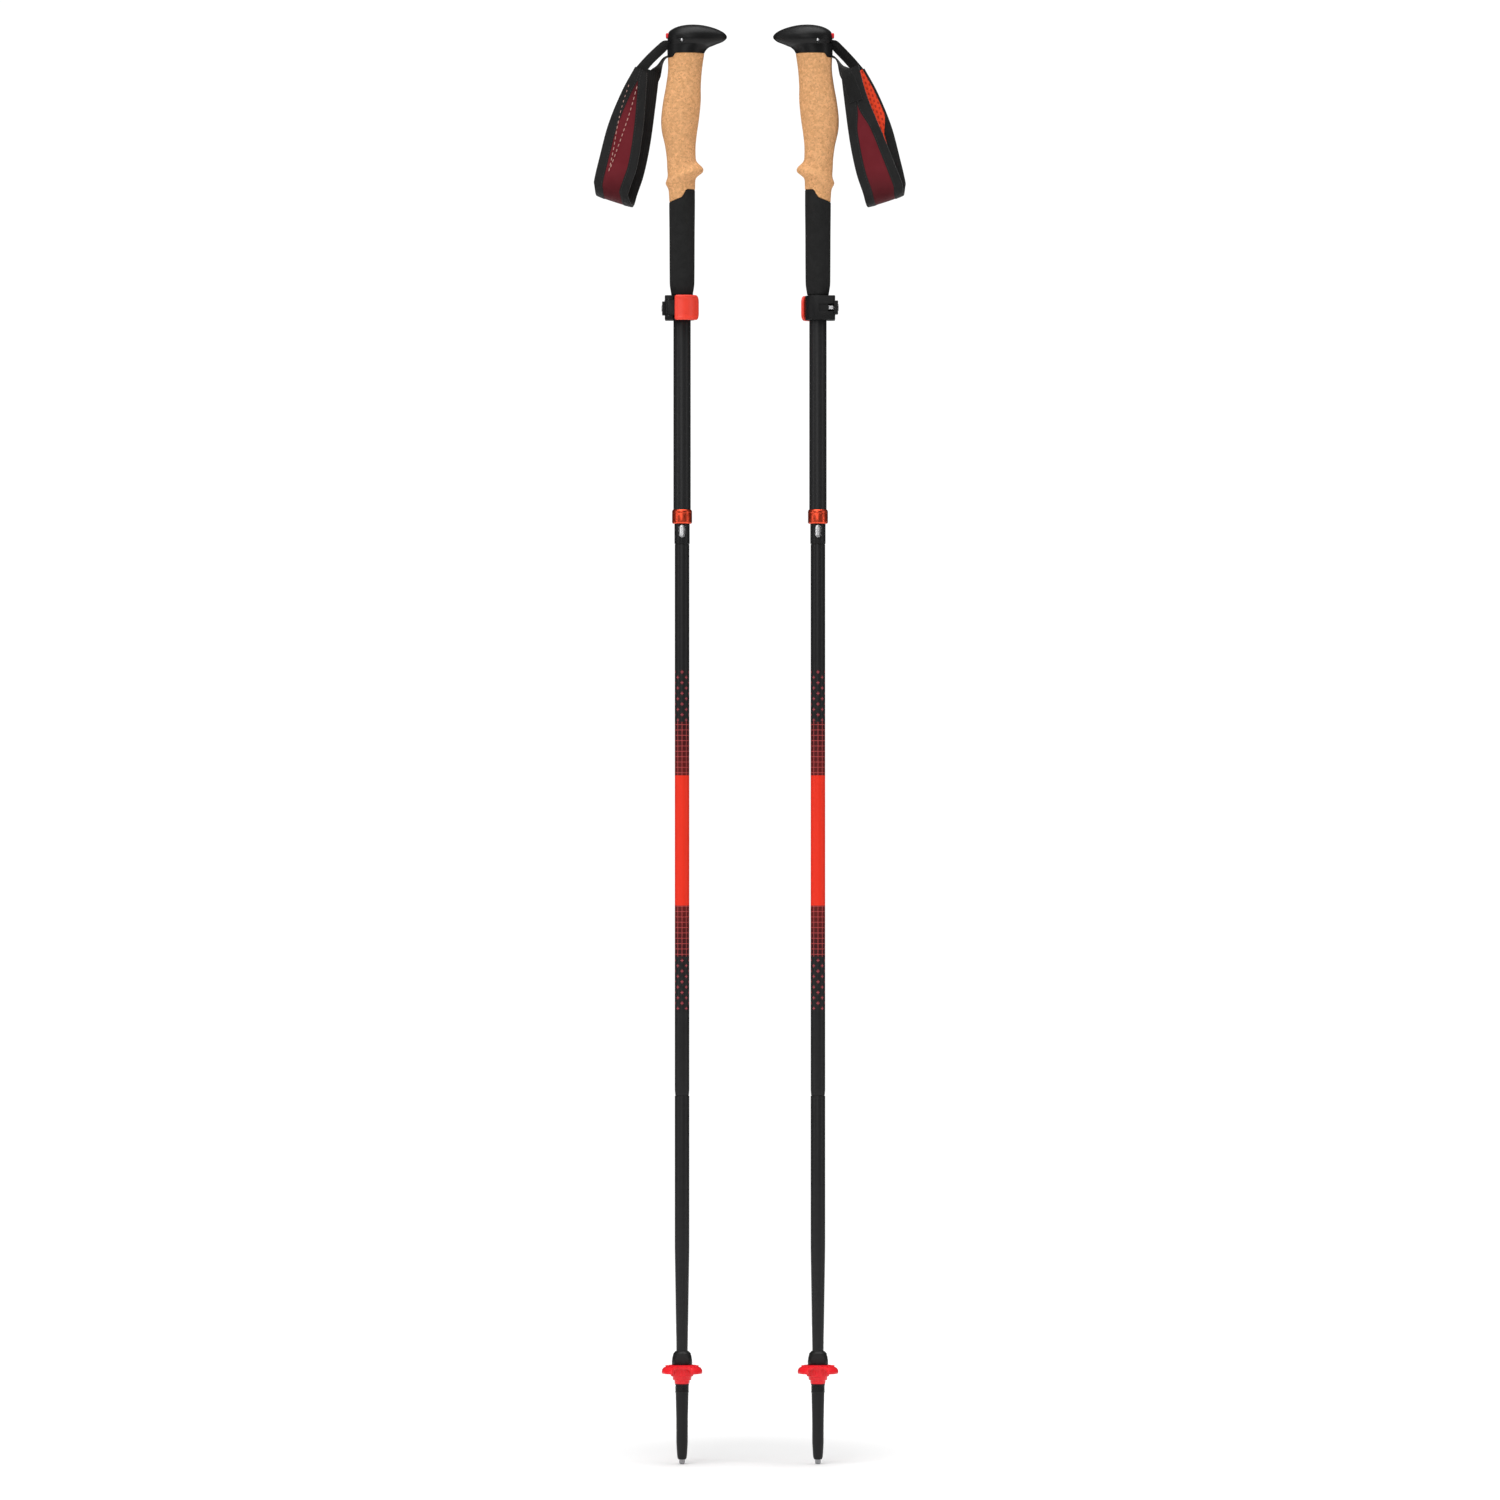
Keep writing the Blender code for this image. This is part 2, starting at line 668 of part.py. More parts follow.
def clamp_body(side, handle):
    """A split band round the upper tube, with lugs for the lever's pin and a block for the screw."""
    low = CLAMP_Z + GAP
    high = CLAMP_TOP_Z - GAP
    mid = Vector((0, 0, CLAMP_MID_Z))
    height = high - low
    corner = 0.0020
    lug_x = LEVER_PIN_AT.x + HUB_R + 0.0004
    outline = [
        *arc(BAND_R, 90, -math.degrees(math.acos(lug_x / BAND_R)), 14),
        (lug_x, BLOCK_FRONT_Y),
        *arc(corner, -90, -180, 2, (BLOCK_X + corner, BLOCK_FRONT_Y + corner)),
        *arc(corner, 180, 90, 2, (BLOCK_X + corner, BLOCK_BACK_Y - corner)),
    ]
    body = outline_solid(f"{side}_clamp_body", outline, height, "Z", mid, "black_plastic", handle)
    nub = box(
        f"{side}_nub_cutter",
        (BLOCK_X - NUB_OUT, SCREW_Y - NUB_WIDTH / 2, CLAMP_MID_Z - NUB_HEIGHT / 2),
        (BLOCK_X + 0.001, SCREW_Y + NUB_WIDTH / 2, CLAMP_MID_Z + NUB_HEIGHT / 2),
        None,
        handle,
    )
    join(body, nub)
    pocket_half = HUB_HEIGHT / 2 + GAP
    slot_half = NUT_R + 0.0005
    cut(
        body,
        bore_cutter(f"{side}_clamp_bore_cutter", BORE_R, low - 0.01, high + 0.01, handle),
        box(
            f"{side}_split_cutter",
            (BLOCK_X - 0.01, -0.0006, low - 0.01),
            (-BORE_R / 2, 0.0006, high + 0.01),
            None,
            handle,
        ),
        box(
            f"{side}_hub_pocket_cutter",
            (BLOCK_X - 0.01, -0.03, CLAMP_MID_Z - pocket_half),
            (LEVER_PIN_AT.x + HUB_R + 0.0004, LEVER_PIN_AT.y + HUB_R + GAP, CLAMP_MID_Z + pocket_half),
            None,
            handle,
        ),
        cylinder(
            f"{side}_lever_pin_cutter", LEVER_PIN_R + GAP, 0.04, "Z", LEVER_PIN_AT, None, handle
        ),
        box(
            f"{side}_nut_slot_cutter",
            (BLOCK_X + 0.0010, SCREW_Y - NUT_R - GAP, CLAMP_MID_Z - slot_half),
            (BLOCK_X + 0.0062, 0.03, CLAMP_MID_Z + slot_half),
            None,
            handle,
        ),
        box(
            f"{side}_slot_cutter",
            (BLOCK_X + 0.0060, BLOCK_BACK_Y - 0.0010, CLAMP_MID_Z - slot_half),
            (-0.0010, 0.03, CLAMP_MID_Z + slot_half),
            None,
            handle,
        ),
        cylinder(
            f"{side}_screw_hole_cutter",
            SCREW_R + GAP,
            0.01,
            "X",
            (BLOCK_X - 0.003, SCREW_Y, CLAMP_MID_Z),
            None,
            handle,
        ),
        cylinder(
            f"{side}_head_recess_cutter",
            SCREW_HEAD_R + GAP,
            0.004,
            "X",
            (BLOCK_X - NUB_OUT - 0.0008, SCREW_Y, CLAMP_MID_Z),
            None,
            handle,
        ),
    )


def tension_screw(side, handle):
    """Lies along X, its head outwards in the nub and its end in a barrel nut."""
    at = (BLOCK_X - NUB_OUT - 0.0005, SCREW_Y, CLAMP_MID_Z)
    profile = [
        (0.0, 0.0),
        (SCREW_HEAD_R, 0.0),
        (SCREW_HEAD_R, -0.0014),
        (SCREW_R, -0.0014),
        (SCREW_R, -0.0090),
        (0.0, -0.0090),
    ]
    screw = turned(f"{side}_tension_screw", profile, "silver", handle, at, sides=SMALL_ROUND)
    screw.rotation_euler.y = -math.pi / 2
    nut_low = BLOCK_X + 0.0010 + GAP
    nut_high = BLOCK_X + 0.0062 - GAP
    middle = ((nut_low + nut_high) / 2, SCREW_Y, CLAMP_MID_Z)
    nut = cylinder(f"{side}_barrel_nut", NUT_R, nut_high - nut_low, "X", middle, "silver", handle)
    hole = cylinder(f"{side}_nut_hole_cutter", SCREW_R + GAP, 0.02, "X", middle, None, handle)
    cut(nut, hole)


def clamp_lever(side, handle):
    """A curved cover round the band's side and front, on a hub that turns about an upright pin."""
    turn = f"{side}_lever_turn"
    pivot(turn, handle, LEVER_PIN_AT)
    inner = BAND_R + LEVER_GAP
    outer = inner + LEVER_WALL
    outline = [*arc(outer, -117, -5, 10), *arc(inner, -5, -115, 10)]
    middle = (0, 0, CLAMP_MID_Z)
    lever = outline_solid(f"{side}_clamp_lever", outline, CLAMP_HEIGHT, "Z", middle, "coral", turn)
    arm_back = -BAND_R - 0.0004
    arm = box(
        f"{side}_arm_cutter",
        (LEVER_PIN_AT.x, LEVER_PIN_AT.y - HUB_R, CLAMP_MID_Z - HUB_HEIGHT / 2),
        (-0.0045, arm_back + 0.0006, CLAMP_MID_Z + HUB_HEIGHT / 2),
        None,
        turn,
    )
    hub = cylinder(f"{side}_hub_cutter", HUB_R, HUB_HEIGHT, "Z", LEVER_PIN_AT, None, turn)
    hole = cylinder(f"{side}_hub_hole_cutter", LEVER_PIN_R + GAP, 0.04, "Z", LEVER_PIN_AT, None, turn)
    join(lever, arm, hub)
    cut(lever, hole)
    pin_length = CLAMP_HEIGHT - 0.0012
    cylinder(f"{side}_lever_pin", LEVER_PIN_R, pin_length, "Z", LEVER_PIN_AT, "silver", handle, 12)


# ---- slide tube, collar, sleeve and button ----


def slide_tube(side, pole):
    slide = f"{side}_length_slide"
    pivot(slide, pole, (0, 0, CLAMP_Z))
    top = CLAMP_TOP_Z + SLIDE_HIDDEN - CLAMP_HEIGHT
    lip = 0.0016
    inner = SLEEVE_R + 0.0002
    turned(
        f"{side}_slide_tube",
        tube_profile(SLIDE_R, inner, top, COLLAR_Z + lip + GAP),
        "carbon",
        slide,
        (0, 0, 0),
        hollow=True,
    )
    edge = 0.0007
    collar = [
        (COLLAR_R - edge, COLLAR_Z + COLLAR_HEIGHT),
        (COLLAR_R, COLLAR_Z + COLLAR_HEIGHT - edge),
        (COLLAR_R, COLLAR_Z + edge),
        (COLLAR_R - edge, COLLAR_Z),
        (SLEEVE_R + GAP, COLLAR_Z),
        (SLEEVE_R + GAP, COLLAR_Z + lip),
        (SLIDE_R + GAP, COLLAR_Z + lip),
        (SLIDE_R + GAP, COLLAR_Z + COLLAR_HEIGHT),
    ]
    turned(f"{side}_collar", collar, "orange_metal", slide, (0, 0, 0), hollow=True)
    head = 0.004
    stem = 0.010
    bush = [
        (UPPER_IN_R - 0.0002, top + head + GAP),
        (UPPER_IN_R - 0.0002, top + GAP),
        (inner - GAP, top + GAP),
        (inner - GAP, top - stem),
        (inner - 0.0015, top - stem),
        (inner - 0.0015, top + head + GAP),
    ]
    turned(f"{side}_slide_bushing", bush, "black_plastic", slide, (0, 0, 0), hollow=True)
    return slide


def cone_tip_r():
    """The widest cone tip that swings out of its socket about a pivot FOLD_OFFSET to the side."""
    b = FOLD_OFFSET - CONE_BASE_R
    c = CONE_LENGTH**2 - FOLD_OFFSET * CONE_BASE_R
    return (-b + math.sqrt(b * b - 4 * c)) / 2 - CONE_MARGIN


def socket_profile(joint_z):
    """The inner side of a tube whose end takes a joint cone, from its neck down to its mouth."""
    tip = cone_tip_r() + SOCKET_GAP
    return [
        (tip, joint_z + CONE_LENGTH + 0.0016),
        (tip, joint_z + CONE_LENGTH),
        (CONE_BASE_R + SOCKET_GAP, joint_z + GAP / 2),
    ]


def pill(width, height, steps=5):
    """A long round-ended outline, standing up."""
    r = width / 2
    rise = height / 2 - r
    return [*arc(r, 0, 180, steps, (0, rise)), *arc(r, 180, 360, steps, (0, -rise))]


def button_sleeve(side, slide):
    outer = SLEEVE_R
    inner = SLEEVE_R - SLEEVE_WALL
    top = COLLAR_Z + SLEEVE_HIDDEN
    socket = socket_profile(UPPER_JOINT_Z)
    profile = [
        (outer, top),
        (outer, UPPER_JOINT_Z + 0.0006),
        (outer - 0.0004, UPPER_JOINT_Z + GAP / 2),
        *reversed(socket),
        (inner, socket[0][1]),
        (inner, top),
    ]
    sleeve = turned(f"{side}_button_sleeve", profile, "black_plastic", slide, (0, 0, 0), hollow=True)
    middle = (0, -SLEEVE_R, button_z())
    hole = outline_solid(
        f"{side}_button_hole_cutter",
        pill(BUTTON_WIDTH + 2 * BUTTON_GAP, BUTTON_HEIGHT + 2 * BUTTON_GAP),
        0.0074,
        "Y",
        middle,
        None,
        slide,
    )
    chamber = box(
        f"{side}_button_chamber_cutter",
        (-BUTTON_WIDTH / 2 - 0.0008, -SLEEVE_R + 0.0023, button_z() - BUTTON_HEIGHT / 2 - 0.0006),
        (BUTTON_WIDTH / 2 + 0.0008, 0.0, button_z() + BUTTON_HEIGHT / 2 + 0.0016),
        None,
        slide,
    )
    cut(sleeve, hole, chamber)


def button_z():
    """The button's middle, just under the collar."""
    return COLLAR_Z - 0.0012 - BUTTON_HEIGHT / 2


def release_button(side, slide):
    press = f"{side}_button_press"
    pivot(press, slide, (0, -SLEEVE_R, button_z()))
    face = -SLEEVE_R - BUTTON_PROUD
    flange_out = -SLEEVE_R + 0.0026
    depth = flange_out + 0.0002 - face
    button = outline_solid(
        f"{side}_release_button",
        pill(BUTTON_WIDTH, BUTTON_HEIGHT),
        depth,
        "Y",
        (0, face + depth / 2, button_z()),
        "silver",
        press,
    )
    flange = box(
        f"{side}_flange_cutter",
        (-BUTTON_WIDTH / 2 - 0.0004, flange_out, button_z() - BUTTON_HEIGHT / 2 + 0.0010),
        (
            BUTTON_WIDTH / 2 + 0.0004,
            flange_out + FLANGE_THICKNESS,
            button_z() + BUTTON_HEIGHT / 2 + 0.0008,
        ),
        None,
        press,
    )
    join(button, flange)
    leaf_spring(side, slide, flange_out + FLANGE_THICKNESS + 0.0001)


def leaf_spring(side, slide, touch_y):
    """A flat spring that lies on the sleeve's wall above and bends in behind the button."""
    wall_y = -SLEEVE_R + SLEEVE_WALL + GAP + 0.0006
    low = button_z() - BUTTON_HEIGHT / 2 + 0.0010
    high = low + LEAF_LENGTH
    bend = button_z() + BUTTON_HEIGHT / 2 + 0.0016
    line = [(touch_y, low), (touch_y, bend), (wall_y, bend + 0.009), (wall_y, high)]
    half = 0.0015
    rings = []
    for y, z in line:
        rings.append(
            [
                (-half, y, z),
                (half, y, z),
                (half, y + LEAF_THICKNESS, z),
                (-half, y + LEAF_THICKNESS, z),
            ]
        )
    loft(f"{side}_button_spring", rings, "silver", slide, smooth=False)


def cord_anchor(side, slide):
    """The plug that holds the tension cord's top end, high in the sleeve, with the cord under it."""
    top = COLLAR_Z + SLEEVE_HIDDEN - 0.002
    inner = SLEEVE_R - SLEEVE_WALL - GAP
    profile = [
        (0.0, top),
        (inner, top),
        (inner, top - 0.006),
        (CORD_R, top - 0.006),
        (CORD_R, UPPER_JOINT_Z + CONE_LENGTH + 0.0006),
        (0.0, UPPER_JOINT_Z + CONE_LENGTH + 0.0006),
    ]
    turned(f"{side}_cord_anchor", profile, "cord", slide, (0, 0, 0), sides=CORD_ROUND)


# ---- folding tubes ----


def joint_cone(name, joint_z, tube_in_r, parent):
    """The insert in a tube's top end, whose cone seats in the socket above it."""
    plug = tube_in_r - GAP
    profile = [
        (cone_tip_r(), joint_z + CONE_LENGTH),
        (CONE_BASE_R, joint_z),
        (CONE_BASE_R, joint_z - 0.0006),
        (plug, joint_z - 0.0010),
        (plug, joint_z - PLUG_LENGTH),
        (CORD_HOLE_R, joint_z - PLUG_LENGTH),
        (CORD_HOLE_R, joint_z + CONE_LENGTH),
    ]
    turned(name, profile, "black_plastic", parent, (0, 0, 0), hollow=True, sides=SMALL_ROUND)


def cord_run(name, top, bottom, knot_r, parent):
    """A straight run of the tension cord, with a knot at its foot where it ends."""
    profile = [(0.0, top), (CORD_R, top), (CORD_R, bottom), (0.0, bottom)]
    if knot_r:
        knot = 0.004
        profile[2:] = [(CORD_R, bottom + knot), (knot_r, bottom + knot * 0.7)]
        profile += [(knot_r, bottom + knot * 0.3), (0.0, bottom)]
    turned(name, profile, "cord", parent, (0, 0, 0), sides=CORD_ROUND)


def middle_section(side, slide, fold_side):
    fold = f"{side}_fold_upper"
    pivot(fold, slide, (0, fold_side * FOLD_OFFSET, UPPER_JOINT_Z))
    inner = MIDDLE_R - THIN_WALL
    socket = socket_profile(LOWER_JOINT_Z)
    taper = 0.005
    profile = [
        (MIDDLE_R - 0.0003, UPPER_JOINT_Z - GAP / 2),
        (MIDDLE_R, UPPER_JOINT_Z - 0.0008),
        (MIDDLE_R, LOWER_JOINT_Z + taper),
        (MIDDLE_R - 0.0004, LOWER_JOINT_Z + GAP / 2),
        *reversed(socket),
        (inner, socket[0][1] + 0.001),
        (inner, UPPER_JOINT_Z - GAP / 2),
    ]
    turned(f"{side}_middle_tube", profile, "carbon", fold, (0, 0, 0), hollow=True)
    joint_cone(f"{side}_upper_cone", UPPER_JOINT_Z, inner, fold)
    cord_run(
        f"{side}_cord_middle",
        UPPER_JOINT_Z + CONE_LENGTH - 0.0003,
        LOWER_JOINT_Z + CONE_LENGTH + 0.0006,
        0.0,
        fold,
    )
    return fold


def lower_section(side, middle, fold_side):
    fold = f"{side}_fold_lower"
    pivot(fold, middle, (0, -fold_side * FOLD_OFFSET, LOWER_JOINT_Z))
    bottom = TIP_SHOULDER_Z + 0.004
    taper_top = TIP_TOP_Z + TAPER_LENGTH
    profile = [
        (LOWER_R - 0.0003, LOWER_JOINT_Z - GAP / 2),
        (LOWER_R, LOWER_JOINT_Z - 0.0008),
        (LOWER_R, taper_top),
        (LOWER_END_R, bottom),
        (LOWER_END_R - THIN_WALL, bottom),
        (LOWER_R - THIN_WALL, taper_top),
        (LOWER_R - THIN_WALL, LOWER_JOINT_Z - GAP / 2),
    ]
    turned(f"{side}_lower_tube", profile, "carbon", fold, (0, 0, 0), hollow=True)
    joint_cone(f"{side}_lower_cone", LOWER_JOINT_Z, LOWER_R - THIN_WALL, fold)
    cord_run(
        f"{side}_cord_lower",
        LOWER_JOINT_Z + CONE_LENGTH - 0.0003,
        bottom + 0.010,
        0.003,
        fold,
    )
    tip(side, fold)
    return fold


def tip(side, fold):
    """A moulded tip over the lower tube's end, with a lip above the basket and the carbide below."""
    top = TIP_TOP_Z
    stop = TIP_SHOULDER_Z
    socket_r = LOWER_END_R + GAP
    socket_end = stop + 0.004 - GAP
    hole_r = CARBIDE_R + GAP
    hole_end = CARBIDE_OUT + CARBIDE_HELD
    profile = [
        (0.0, socket_end),
        (socket_r, socket_end),
        (socket_r, top),
        (socket_r + 0.0010, top),
        (TIP_LIP_R - 0.0014, top - 0.0016),
        (TIP_LIP_R - 0.0002, stop + 0.0035),
        (TIP_LIP_R, stop),
        (TIP_R, stop),
        (TIP_R, stop - BASKET_HEIGHT - 0.0080),
        (TIP_R - 0.0006, CARBIDE_OUT + 0.38 * TIP_LENGTH),
        (TIP_END_R + 0.0006, CARBIDE_OUT + 0.16 * TIP_LENGTH),
        (TIP_END_R, CARBIDE_OUT + 0.0044),
        (TIP_END_R - 0.0013, CARBIDE_OUT),
        (hole_r, CARBIDE_OUT),
        (hole_r, hole_end),
        (0.0, hole_end),
    ]
    turned(f"{side}_tip", profile, "black_plastic", fold, (0, 0, 0), sides=TIP_ROUND)
    turned(
        f"{side}_carbide_tip",
        rod_profile(CARBIDE_R, CARBIDE_OUT + CARBIDE_HELD - GAP, 0.0),
        "carbide",
        fold,
        (0, 0, 0),
        sides=12,
    )
    basket(side, fold)


def basket(side, fold):
    """A saucer with a turned-down rim on a hub that screws on under the tip's lip."""
    turn = f"{side}_basket_turn"
    pivot(turn, fold, (0, 0, TIP_SHOULDER_Z))
    top = TIP_SHOULDER_Z - GAP
    bottom = top - BASKET_HEIGHT
    bore = TIP_R + GAP
    thick = BASKET_THICKNESS
    rim = BASKET_R
    profile = [
        (BASKET_HUB_R, top),
        (BASKET_HUB_R + 0.002, top - 0.0006),
        (rim - 0.0028, top - 0.0016),
        (rim - 0.0008, top - 0.0032),
        (rim, top - 0.0075),
        (rim - thick * 0.7, top - 0.0075),
        (rim - thick - 0.0008, top - 0.0044),
        (rim - 0.0036, top - 0.0016 - thick),
        (BASKET_HUB_R, top - 0.0012 - thick),
        (BASKET_HUB_R - 0.0004, top - 0.0100),
        (BASKET_HUB_R - 0.0014, top - 0.0120),
        (bore + 0.0006, bottom),
        (bore, bottom),
        (bore, top),
    ]
    turned(f"{side}_basket", profile, "red_plastic", turn, (0, 0, 0), sides=BASKET_ROUND, hollow=True)


# ---- the pair ----


def build_pole(side, x, turn, fold_side):
    """turn is the handle's, about its own axis. fold_side is +1 or -1, away from the clamp's lever."""
    pole = f"{side}_pole"
    handle = f"{side}_handle"
    pivot(pole, None, (0, 0, 0)).location.x = x
    pivot(handle, pole, (0, 0, 0), turn)
    upper_tube(side, handle)
    foam_grip(side, handle)
    cork_grip(side, handle)
    pommel(side, handle)
    strap_wedge(side, handle)
    strap(side, handle)
    clamp_body(side, handle)
    tension_screw(side, handle)
    clamp_lever(side, handle)
    slide = slide_tube(side, pole)
    button_sleeve(side, slide)
    release_button(side, slide)
    cord_anchor(side, slide)
    middle = middle_section(side, slide, fold_side)
    lower_section(side, middle, fold_side)


def build():
    clear_scene()
    build_pole("left", -POLE_SPACING / 2, 0.0, 1)
    build_pole("right", POLE_SPACING / 2, math.pi, -1)


build()
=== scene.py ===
"""A pair of folding trekking poles: the pieces that show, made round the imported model's bodies.

Metres, +Z up. Every piece is drawn for one pole whose axis is Z and whose beak points to +X, and is then
moved to its own pole. The right handle is turned half round.
"""

import math

import bmesh
import bpy
from bpy.props import FloatProperty, FloatVectorProperty, IntProperty, PointerProperty
from mathutils import Matrix, Vector


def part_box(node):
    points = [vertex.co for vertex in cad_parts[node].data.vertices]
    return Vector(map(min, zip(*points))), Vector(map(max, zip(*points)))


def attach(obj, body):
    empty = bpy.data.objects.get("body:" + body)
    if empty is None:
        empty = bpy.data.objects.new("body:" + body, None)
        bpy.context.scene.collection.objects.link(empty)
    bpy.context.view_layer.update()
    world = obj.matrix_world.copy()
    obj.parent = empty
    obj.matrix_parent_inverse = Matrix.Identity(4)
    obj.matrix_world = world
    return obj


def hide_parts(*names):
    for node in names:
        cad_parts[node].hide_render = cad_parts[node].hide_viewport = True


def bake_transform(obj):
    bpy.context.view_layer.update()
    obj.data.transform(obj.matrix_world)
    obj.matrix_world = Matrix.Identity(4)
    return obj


bl_info = {
    "name": "Trekking Poles",
    "version": (1, 0, 0),
    "blender": (4, 5, 0),
    "location": "View3D > Sidebar > Poles",
    "description": "Makes a pair of folding trekking poles and a plain studio stage",
    "category": "Object",
}

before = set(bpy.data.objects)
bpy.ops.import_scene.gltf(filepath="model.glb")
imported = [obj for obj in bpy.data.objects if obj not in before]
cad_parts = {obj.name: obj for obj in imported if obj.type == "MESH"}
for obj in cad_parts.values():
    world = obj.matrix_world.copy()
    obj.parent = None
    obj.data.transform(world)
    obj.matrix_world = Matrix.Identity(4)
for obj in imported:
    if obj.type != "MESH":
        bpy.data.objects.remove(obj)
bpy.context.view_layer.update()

SIDES = ("left", "right")


# ---- sizes taken from the frame ----


def span(name):
    """The lowest and highest point of a left node."""
    low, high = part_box(f"left_{name}")
    return low[2], high[2]


def radius(name):
    """Half of a left node's width along Y."""
    low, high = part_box(f"left_{name}")
    return (high[1] - low[1]) / 2


def axis_x(side):
    low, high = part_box(f"{side}_middle_tube")
    return (low[0] + high[0]) / 2


CORK_TOP = span("pommel")[1] - 0.0251
CLAMP_LOW, CLAMP_TOP = span("clamp_lever")
CLAMP_MID = (CLAMP_LOW + CLAMP_TOP) / 2
COLLAR_LOW, COLLAR_TOP = span("collar")
UPPER_JOINT = span("button_sleeve")[0]
LOWER_JOINT = span("middle_tube")[0]
TIP_TOP = span("tip")[1]
BASKET_LOW, BASKET_TOP = span("basket")
CARBIDE_OUT = span("tip")[0]
CONE_LENGTH = 0.0054
SLIDE_R = 0.0075
UPPER_R = 0.0088
BORE_R = UPPER_R + 0.0003
BAND_R = 0.0110
TUBE_R = 0.0063
SLEEVE_R = 0.0066


# ---- settings ----


class PoleLooks(bpy.types.PropertyGroup):
    """Colours of the main finishes."""

    cork: FloatVectorProperty(
        name="Cork",
        description="Main colour of the cork",
        subtype="COLOR",
        size=3,
        default=(0.80, 0.43, 0.20),
    )
    black: FloatVectorProperty(
        name="Black plastic",
        description="Moulded black parts",
        subtype="COLOR",
        size=3,
        default=(0.009, 0.009, 0.0093),
    )
    tube: FloatVectorProperty(
        name="Tube",
        description="Coating of the tubes",
        subtype="COLOR",
        size=3,
        default=(0.014, 0.014, 0.0145),
    )
    coral: FloatVectorProperty(
        name="Coral",
        description="Clamp lever",
        subtype="COLOR",
        size=3,
        default=(0.93, 0.062, 0.036),
    )
    print_orange: FloatVectorProperty(
        name="Print orange",
        description="Band on the middle tube",
        subtype="COLOR",
        size=3,
        default=(0.78, 0.030, 0.012),
    )
    anodised: FloatVectorProperty(
        name="Anodised orange",
        description="Collar",
        subtype="COLOR",
        size=3,
        default=(0.93, 0.10, 0.045),
    )
    basket: FloatVectorProperty(
        name="Basket red",
        description="Basket",
        subtype="COLOR",
        size=3,
        default=(0.76, 0.012, 0.020),
    )
    burgundy: FloatVectorProperty(
        name="Burgundy",
        description="Outer cloth of the wrist strap",
        subtype="COLOR",
        size=3,
        default=(0.20, 0.0145, 0.0235),
    )
    lining: FloatVectorProperty(
        name="Lining",
        description="Mesh inside the wrist strap",
        subtype="COLOR",
        size=3,
        default=(1.0, 0.070, 0.018),
    )


class PoleDetail(bpy.types.PropertyGroup):
    """How finely the pieces are made."""

    sides: IntProperty(name="Sides", description="Sides of a round piece", default=64, min=16)
    binding_width: FloatProperty(
        name="Binding", description="Width of the strap's bound edge", default=0.0072, unit="LENGTH"
    )
    stitch_pitch: FloatProperty(
        name="Stitch pitch", description="From one stitch to the next", default=0.0046, unit="LENGTH"
    )
    rib_count: IntProperty(name="Basket ribs", description="Ribs under the basket's rim", default=20, min=3)


class PoleStage(bpy.types.PropertyGroup):
    """Camera and light."""

    picture_width: FloatProperty(
        name="Picture width", description="Width that the camera takes in", default=1.30275, unit="LENGTH"
    )
    camera_distance: FloatProperty(
        name="Camera distance", description="From the camera to the poles", default=7.0, unit="LENGTH"
    )
    camera_height: FloatProperty(
        name="Camera height", description="Height of the camera", default=0.620, unit="LENGTH"
    )
    key_light: FloatProperty(name="Key light", description="Strength of the main light", default=1.05)


def looks():
    return bpy.context.scene.pole_looks


def detail():
    return bpy.context.scene.pole_detail


# ---- meshes ----


def handle_place(side):
    turn = math.pi if side == "right" else 0.0
    return Matrix.Translation((axis_x(side), 0, 0)) @ Matrix.Rotation(turn, 4, "Z")


def shaft_place(side):
    return Matrix.Translation((axis_x(side), 0, 0))


def new_object(name, mesh, *materials):
    obj = bpy.data.objects.new(name, mesh)
    bpy.context.scene.collection.objects.link(obj)
    for finish in materials:
        mesh.materials.append(finish)
    return obj


def to_mesh(name, bm, smooth=35.0, outward=False):
    if outward:
        bmesh.ops.recalc_face_normals(bm, faces=bm.faces)
    mesh = bpy.data.meshes.new(name)
    bm.to_mesh(mesh)
    bm.free()
    mesh.shade_smooth()
    mesh.set_sharp_from_angle(angle=math.radians(smooth))
    return mesh


def dress(obj, name):
    """Puts one finish on a piece, in place of what its cutters left on it."""
    obj.data.materials.clear()
    obj.data.materials.append(finish(name))


def baked(obj):
    """obj with its modifiers made into its mesh."""
    graph = bpy.context.evaluated_depsgraph_get()
    mesh = bpy.data.meshes.new_from_object(obj.evaluated_get(graph))
    old = obj.data
    obj.modifiers.clear()
    obj.data = mesh
    mesh.name = old.name
    bpy.data.meshes.remove(old)
    return obj


def seat(obj, place, body, slot, *nodes):
    """Puts a piece drawn round the Z axis on its pole, on a body, in place of CAD nodes."""
    obj.data.transform(place)
    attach(obj, body)
    if nodes:
        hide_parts(*nodes)
    return obj


def skin(name, rings, closed=False, uvs=None, smooth=35.0):
    """A surface through rings of points. closed joins the last ring to the first. uvs gives (u, v) by
    ring and place, where the place after the last one closes the ring."""
    bm = bmesh.new()
    layer = bm.loops.layers.uv.new("UVMap")
    rows = [[bm.verts.new(p) for p in ring] for ring in rings]
    sides = len(rows[0])
    pairs = [(k, k + 1) for k in range(len(rows) - 1)]
    if closed:
        pairs.append((len(rows) - 1, 0))
    for k, n in pairs:
        for i in range(sides):
            j = (i + 1) % sides
            face = bm.faces.new((rows[k][i], rows[n][i], rows[n][j], rows[k][j]))
            if uvs:
                corners = (uvs(k, i), uvs(n, i), uvs(n, i + 1), uvs(k, i + 1))
                for loop, uv in zip(face.loops, corners):
                    loop[layer].uv = uv
    if not closed:
        bm.faces.new(rows[0])
        bm.faces.new(reversed(rows[-1]))
    return to_mesh(name, bm, smooth, outward=True)


